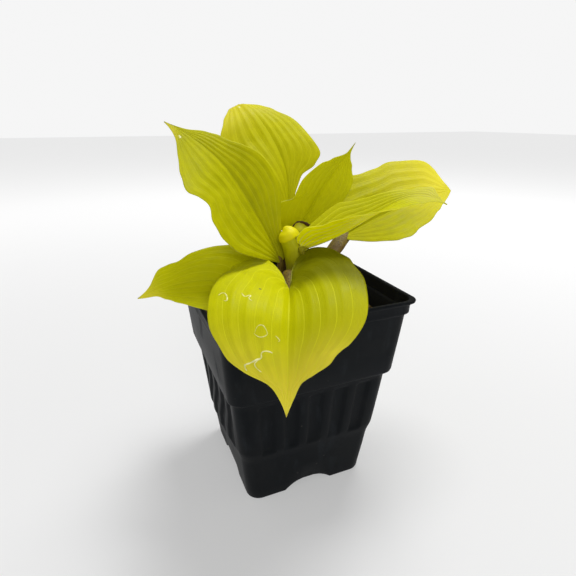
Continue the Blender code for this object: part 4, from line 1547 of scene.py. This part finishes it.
def hosta_leaves() -> list[Leaf]:
    """List the open leaves from the lowest to the highest.

    Returns:
        The leaves.
    """
    # Darker colours for the upright left leaf: partly its own olive tone, partly painted shade for a leaf
    # that stands up from the light above.
    olive_and_shaded = {"body": (0.40, 0.40, 0.0), "deep": (0.31, 0.315, 0.0), "vein": (0.50, 0.50, 0.02)}
    return [
        Leaf(
            "front",
            rib=[(-11, -33, 133), (-22, -59, 131), (-28, -72, 121), (-31, -79, 108), (-33, -82, 91)],
            face=[(-0.3, -0.35, 0.9), (-0.35, -0.8, 0.45)],
            left=[(3, -6), (7, -15), (17, -22), (29, -14), (35.5, 3), (38, 19), (36.5, 34), (28.5, 45.5),
                  (24, 48.5), (20, 53), (13, 58), (6.5, 62), (3, 69.5)],
            right=[(3.5, -6), (9, -15), (20, -25), (30, -22.5), (34.5, -3), (39.5, 13), (38.5, 32),
                   (33, 45), (21, 57), (8, 64), (3.2, 71)],
            fold=((30, 0), (46, 0)), curl=((-10, -2), (-14, -2)),
            stalk=[(-2, -13, 106.7), (-4, -15, 126), (-7, -22, 137), (-10.2, -30.8, 134.4)],
            # The front blade carries painted shade over its left half and a painted shadow on that half's
            # basal lobe.
            finish=BladeFinish("blade_bright", tip_start=0.48, tip_share=1.0, painted_shade_half=0.8,
                               shade_left=1.0, vein_share=0.42),
            wave=0.7, wave_phase=0.1, nick=0.5, relief=0.55, ears=(9.5, 5.5),
            ear_place=0.17, ear_spread=0.15, wing=1.7,
            tracks=[
                Track([(0.20, 0.655), (0.30, 0.66), (0.355, 0.675), (0.37, 0.69), (0.48, 0.71),
                       (0.62, 0.73), (0.75, 0.745), (0.83, 0.77)], 0.38),
                Track([(0.46, 0.712), (0.55, 0.74), (0.50, 0.76)], 0.26),
                Track([(0.60, 0.483), (0.55, 0.49), (0.51, 0.478), (0.49, 0.476), (0.50, 0.488),
                       (0.46, 0.49)], 0.32),
                Track([(0.87, 0.53), (0.82, 0.515), (0.77, 0.52), (0.75, 0.535), (0.79, 0.54)], 0.3, 0.3),
                Track([(0.40, 0.60), (0.36, 0.57), (0.29, 0.56), (0.25, 0.58), (0.29, 0.60),
                       (0.35, 0.61), (0.41, 0.605)], 0.26, 0.55),
                Track([(0.15, 0.57), (0.12, 0.575), (0.10, 0.582), (0.12, 0.592)], 0.26, 0.5),
                Track([(0.42, 0.402), (0.44, 0.408), (0.45, 0.412)], 0.45, 0.0, 1.0),
            ]),
        Leaf(
            "low_left",
            rib=[(-35, -14, 131.5), (-49, -12, 135.5), (-65, -10, 135), (-86, -8, 129)],
            face=[(-0.1, -0.5, 0.85), (-0.2, -0.5, 0.85)],
            left=[(6, -4), (15, 0), (19, 9), (20, 17), (18, 26), (11, 36), (3.5, 44), (1.5, 50)],
            right=[(9, -9), (17, -15), (24, -10), (25, 0), (22.5, 11), (18, 21), (13, 30), (12, 38),
                   (3.5, 46)],
            fold=((2, 5), (14, 5)),
            stalk=[(-7, -9, 106.7), (-14, -10.5, 120), (-23, -13, 128), (-33.8, -14, 130.8)],
            finish=BladeFinish("blade_low_left", body=(0.54, 0.54, 0.0), deep=(0.42, 0.425, 0.0),
                               tip=(0.80, 0.66, 0.06), tip_start=0.7, vein_share=0.3),
            wave=0.8, wave_phase=0.4),
        Leaf(
            "left",
            rib=[(-3, -1, 137.3), (-15, 4, 164), (-32, 12, 193), (-47, 18, 207), (-60, 22, 215)],
            face=[(0.3, -0.85, 0.45), (0.3, -0.8, 0.5)],
            left=[(9, 4), (22, 13), (34, 24), (36.5, 34), (35.5, 43), (31.5, 50.5), (33, 58), (35, 65),
                  (28.5, 76), (18, 85), (6.5, 93)],
            right=[(5, 4), (7, 13), (14.5, 26), (23.5, 40), (23, 55), (14.5, 69), (9.5, 81), (2.5, 91)],
            fold=((22, 5), (25, 5)),
            stalk=[(-4.5, 0.5, 106.7), (-4.6, 0, 122), (-3.2, -0.9, 136)],
            finish=BladeFinish("blade_left", tip_start=0.9, tip_share=0.3, **olive_and_shaded),
            wave=0.9, wave_phase=0.7, relief=0.65,
            tracks=[Track([(-0.54, 0.885), (-0.52, 0.89), (-0.50, 0.90)], 0.7)]),
        Leaf(
            "back",
            rib=[(11, 22, 161), (15, 33, 183), (11, 47, 204), (2, 62, 222), (-2, 76, 225), (0, 88, 214)],
            face=[(0, -0.9, 0.4), (0, -0.6, 0.25), (0, -0.1, 1)],
            left=[(6, 4), (12, 12), (20, 24), (28, 36), (34, 46), (36, 56), (31, 66), (20, 78), (8, 91)],
            right=[(3, 4), (4, 12), (7, 19), (10.5, 24), (20, 28.5), (25.5, 34), (24.5, 46), (22, 58),
                   (16.5, 68), (11, 80), (5, 94)],
            fold=((20, -25), (20, -15)),
            stalk=[(0, 6, 106.7), (4, 13, 135), (10.7, 21.3, 160)],
            finish=BladeFinish("blade_back", body=(0.47, 0.46, 0.0), deep=(0.35, 0.35, 0.0),
                               tip=(0.74, 0.62, 0.06), tip_start=0.5, vein_share=0.25),
            wave=0.6, wave_phase=0.2, relief=0.5,
            tracks=[Track([(-0.27, 0.775), (-0.25, 0.78), (-0.23, 0.79)], 0.8)]),
        Leaf(
            "centre",
            rib=[(14.5, 10.5, 154.5), (22, 8.4, 168), (31.5, 8, 182), (41, 8, 193), (46, 8, 198.5),
                 (49.5, 8, 203)],
            face=[(-0.2, -0.9, 0.3), (-0.3, -0.8, 0.5)],
            left=[(9, -6), (17, -9), (20.5, 5), (13, 13), (13.5, 24), (11, 33), (7, 41), (3, 48),
                  (0.8, 52), (0.5, 55)],
            right=[(8, 0), (10.5, 8), (13.5, 18), (15.7, 28), (13.5, 39), (6.5, 48), (1.5, 53), (0.6, 56)],
            fold=((25, 5), (25, 5)),
            stalk=[(6, 5, 106.7), (10.5, 8.5, 132), (14.2, 10.7, 153.4)],
            finish=BladeFinish("blade_centre", body=(0.52, 0.52, 0.0), deep=(0.44, 0.445, 0.0),
                               tip_start=0.92, tip_share=0.2, vein_share=0.15),
            wave=0.5, relief=0.3),
        Leaf(
            "right_rear",
            rib=[(45, 7, 147), (70, 6, 157), (97, 4, 166), (122, 2, 171)],
            face=[(-0.2, -0.4, 0.9), (0, -0.4, 0.9)],
            left=[(8, -6), (22, -6), (35, 4), (36.5, 18), (36, 32), (36.5, 45), (38.3, 53.5), (35, 63),
                  (32, 71.5), (30, 77.5), (22, 81), (16.5, 82.2), (9.5, 82), (7.5, 84)],
            right=[(5, -2), (12, 3), (21, 11), (30, 22), (30, 32), (25.5, 39), (22.5, 50), (16.5, 61),
                   (10.5, 69), (5, 76)],
            fold=((22, 10), (12, 5)),
            stalk=[(11, -6, 106.7), (16, -6, 122), (24, -5, 133), (34, 0, 141), (43.6, 6.6, 146)],
            finish=BladeFinish("blade_right_rear", body=(0.42, 0.41, 0.0), deep=(0.32, 0.32, 0.0),
                               tip=(0.84, 0.72, 0.05), tip_start=0.35, vein_share=0.25),
            wave=1.4, wave_phase=0.3, relief=0.45, wing=2.6),
        Leaf(
            "right",
            rib=[(4, -15, 148.5), (24, -19.6, 155), (45, -24, 166), (66, -29, 175), (84, -38, 171)],
            face=[(-0.2, -0.1, 0.95), (-0.2, -0.12, 0.95)],
            left=[(3, 0), (9, 5.5), (14, 16.5), (18, 31), (12.5, 45), (10.5, 53), (8.5, 60), (6.5, 68),
                  (8.5, 76), (9.5, 81), (4, 84)],
            right=[(6.5, -2), (13.5, 3.5), (14, 14), (20.5, 28), (23.5, 42), (19.5, 58), (11.5, 70),
                   (3, 81)],
            fold=((45, 20), (75, -20)),
            stalk=[(8, -12, 106.7), (8.5, -14, 128), (7.5, -15.5, 140), (5, -15, 147.5)],
            finish=BladeFinish("blade_right", body=(0.46, 0.46, 0.0), underside=(0.82, 0.80, 0.0),
                               tip=(0.66, 0.60, 0.14), tip_start=0.6),
            stalk_finish=StalkFinish("leaf_stalk_green", green=(0.30, 0.29, 0.005),
                                     red=(0.22, 0.19, 0.01), pale=(0.36, 0.34, 0.01)),
            wave=0.6, wave_phase=0.6, relief=0.35, wing=2.0),
    ]


def furled_leaves() -> list[FurledLeaf]:
    """List the leaves that are still rolled.

    Returns:
        The rolled leaves.
    """
    return [
        FurledLeaf(
            "leaf_young",
            path=[(6.4, -5.0, 106.7), (6.4, -6.2, 122), (5.9, -7.0, 136), (3.6, -6.6, 146),
                  (0.8, -5.4, 152.5), (-1.0, -4.6, 157), (-2.2, -4.4, 158.5)],
            radii=(4.2, 5.6, 6.9, 7.3, 7.0, 6.2, 5.2, 0.5), hood_start=0.78, hood_overhang=0.10,
            seam_angle=4.9, finish=FurledFinish()),
        FurledLeaf(
            "leaf_bud",
            path=[(8.3, -0.5, 106.7), (9.0, 1.0, 128), (9.8, 2.5, 144), (10.4, 3.5, 152),
                  (10.4, 3.4, 156), (10.2, 3.2, 159.2)],
            radii=(1.7, 2.4, 3.2, 4.0, 4.9, 5.4, 5.3, 0.5), hood_start=0.9, hood_overhang=0.0,
            seam_angle=3.4, finish=FurledFinish("young_leaf_bud", hood=(0.45, 0.43, 0.0))),
    ]


# ------------------------------------------------------------------------------------ studio


@dataclass
class Lamp:
    """One soft area light."""

    name: str
    place: Point
    target: Point
    size: float
    power: float

    def build(self) -> None:
        """Add the light to the scene."""
        data = bpy.data.lights.new(self.name, "AREA")
        data.shape = "DISK"
        data.size = self.size
        data.energy = self.power
        item = bpy.data.objects.new(self.name, data)
        item.location = self.place
        toward = Vector(self.target) - Vector(self.place)
        item.rotation_euler = toward.to_track_quat("-Z", "Y").to_euler()
        bpy.context.scene.collection.objects.link(item)


@dataclass
class Studio:
    """Floor, lights, surround and camera."""

    camera_place: Point = (-0.0966, -0.2360, 0.2169)
    yaw_degrees: float = 22.7
    pitch_degrees: float = 20.92
    lens: float = 27.81
    floor_half: float = 6.0
    floor_gap: float = 0.0002
    floor_colour: Colour = (0.48, 0.48, 0.48)
    glow_reach: Pair = (0.1, 1.2)
    glow_levels: Pair = (0.34, 0.66)
    surround: float = 0.30
    backdrop: float = 0.92
    lamps: tuple[Lamp, ...] = (
        Lamp("key", (0.40, 0.30, 1.35), (0.0, 0.0, 0.15), 0.6, 15.0),
        Lamp("left_sheen", (-1.2, 0.25, 0.45), (0.0, 0.0, 0.08), 0.6, 0.8),
        Lamp("front_fill", (-0.35, -1.4, 1.0), (0.0, 0.0, 0.12), 0.9, 7.4),
    )

    def light_surround(self, scene: bpy.types.Scene) -> None:
        """Add the even surround, brighter where the camera looks straight at it.

        Args:
            scene: The scene.
        """
        world = bpy.data.worlds.new("surround")
        world.use_nodes = True
        graph = Graph(world.node_tree)
        seen = graph.add("ShaderNodeLightPath").outputs["Is Camera Ray"]
        level = graph.ease(seen, 0.0, 1.0, self.surround, self.backdrop)
        background = world.node_tree.nodes["Background"]
        world.node_tree.links.new(level, background.inputs["Strength"])
        background.inputs["Color"].default_value = (1.0, 1.0, 1.0, 1.0)
        scene.world = world

    def lay_floor(self) -> None:
        """Lay the plain pale floor, which brightens away from the pot."""
        h = self.floor_half / MM
        corners = np.array([(-h, -h, 0.0), (h, -h, 0.0), (h, h, 0.0), (-h, h, 0.0)])
        floor = make_mesh("floor", corners, [[0, 1, 2, 3]])
        floor.location.z = -self.floor_gap
        material, graph, shader = new_material("pale_floor")
        away = graph.add("ShaderNodeVectorMath", {0: graph.place()}, operation="LENGTH")
        glow = graph.ease(away.outputs["Value"], *self.glow_reach, *self.glow_levels)
        tint = graph.add("ShaderNodeCombineColor", {0: glow, 1: glow, 2: glow})
        graph.tree.links.new(tint.outputs[0], shader.inputs["Emission Color"])
        shader.inputs["Emission Strength"].default_value = 1.0
        shader.inputs["Base Color"].default_value = (*self.floor_colour, 1.0)
        shader.inputs["Roughness"].default_value = 0.9
        floor.data.materials.append(material)

    def set_camera(self, scene: bpy.types.Scene) -> None:
        """Add the camera and look through it.

        Args:
            scene: The scene.
        """
        data = bpy.data.cameras.new("camera")
        data.lens = self.lens
        data.sensor_width = 36.0
        data.clip_start = 0.01
        camera = bpy.data.objects.new("camera", data)
        camera.location = self.camera_place
        camera.rotation_euler = (math.radians(90.0 - self.pitch_degrees), 0.0,
                                 math.radians(-self.yaw_degrees))
        scene.collection.objects.link(camera)
        scene.camera = camera

    def build(self) -> None:
        """Build the whole studio."""
        scene = bpy.context.scene
        scene.view_settings.view_transform = "Standard"
        self.light_surround(scene)
        self.lay_floor()
        for lamp in self.lamps:
            lamp.build()
        self.set_camera(scene)


def main() -> None:
    """Build the plant, the pot and the studio."""
    logging.basicConfig(level=logging.INFO, format="%(message)s")
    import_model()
    effects = Effects()
    Pot(PotFinish().build(effects)).build()
    PottingMix(MIX_FINISH.build(effects), CRUMB_FINISH.build(effects)).build()
    BarkChips(BARK_FINISH.build(effects)).build()
    Rootstock(ROOTSTOCK_FINISH.build(effects)).build()
    for leaf in hosta_leaves():
        leaf.build(effects, f"leaf_{leaf.name}", f"petiole_{leaf.name}")
    for leaf in furled_leaves():
        leaf.build(effects)
    SheathRim(SHEATH_FINISH.build(effects)).build()
    Studio().build()


if __name__ == "__main__":
    main()
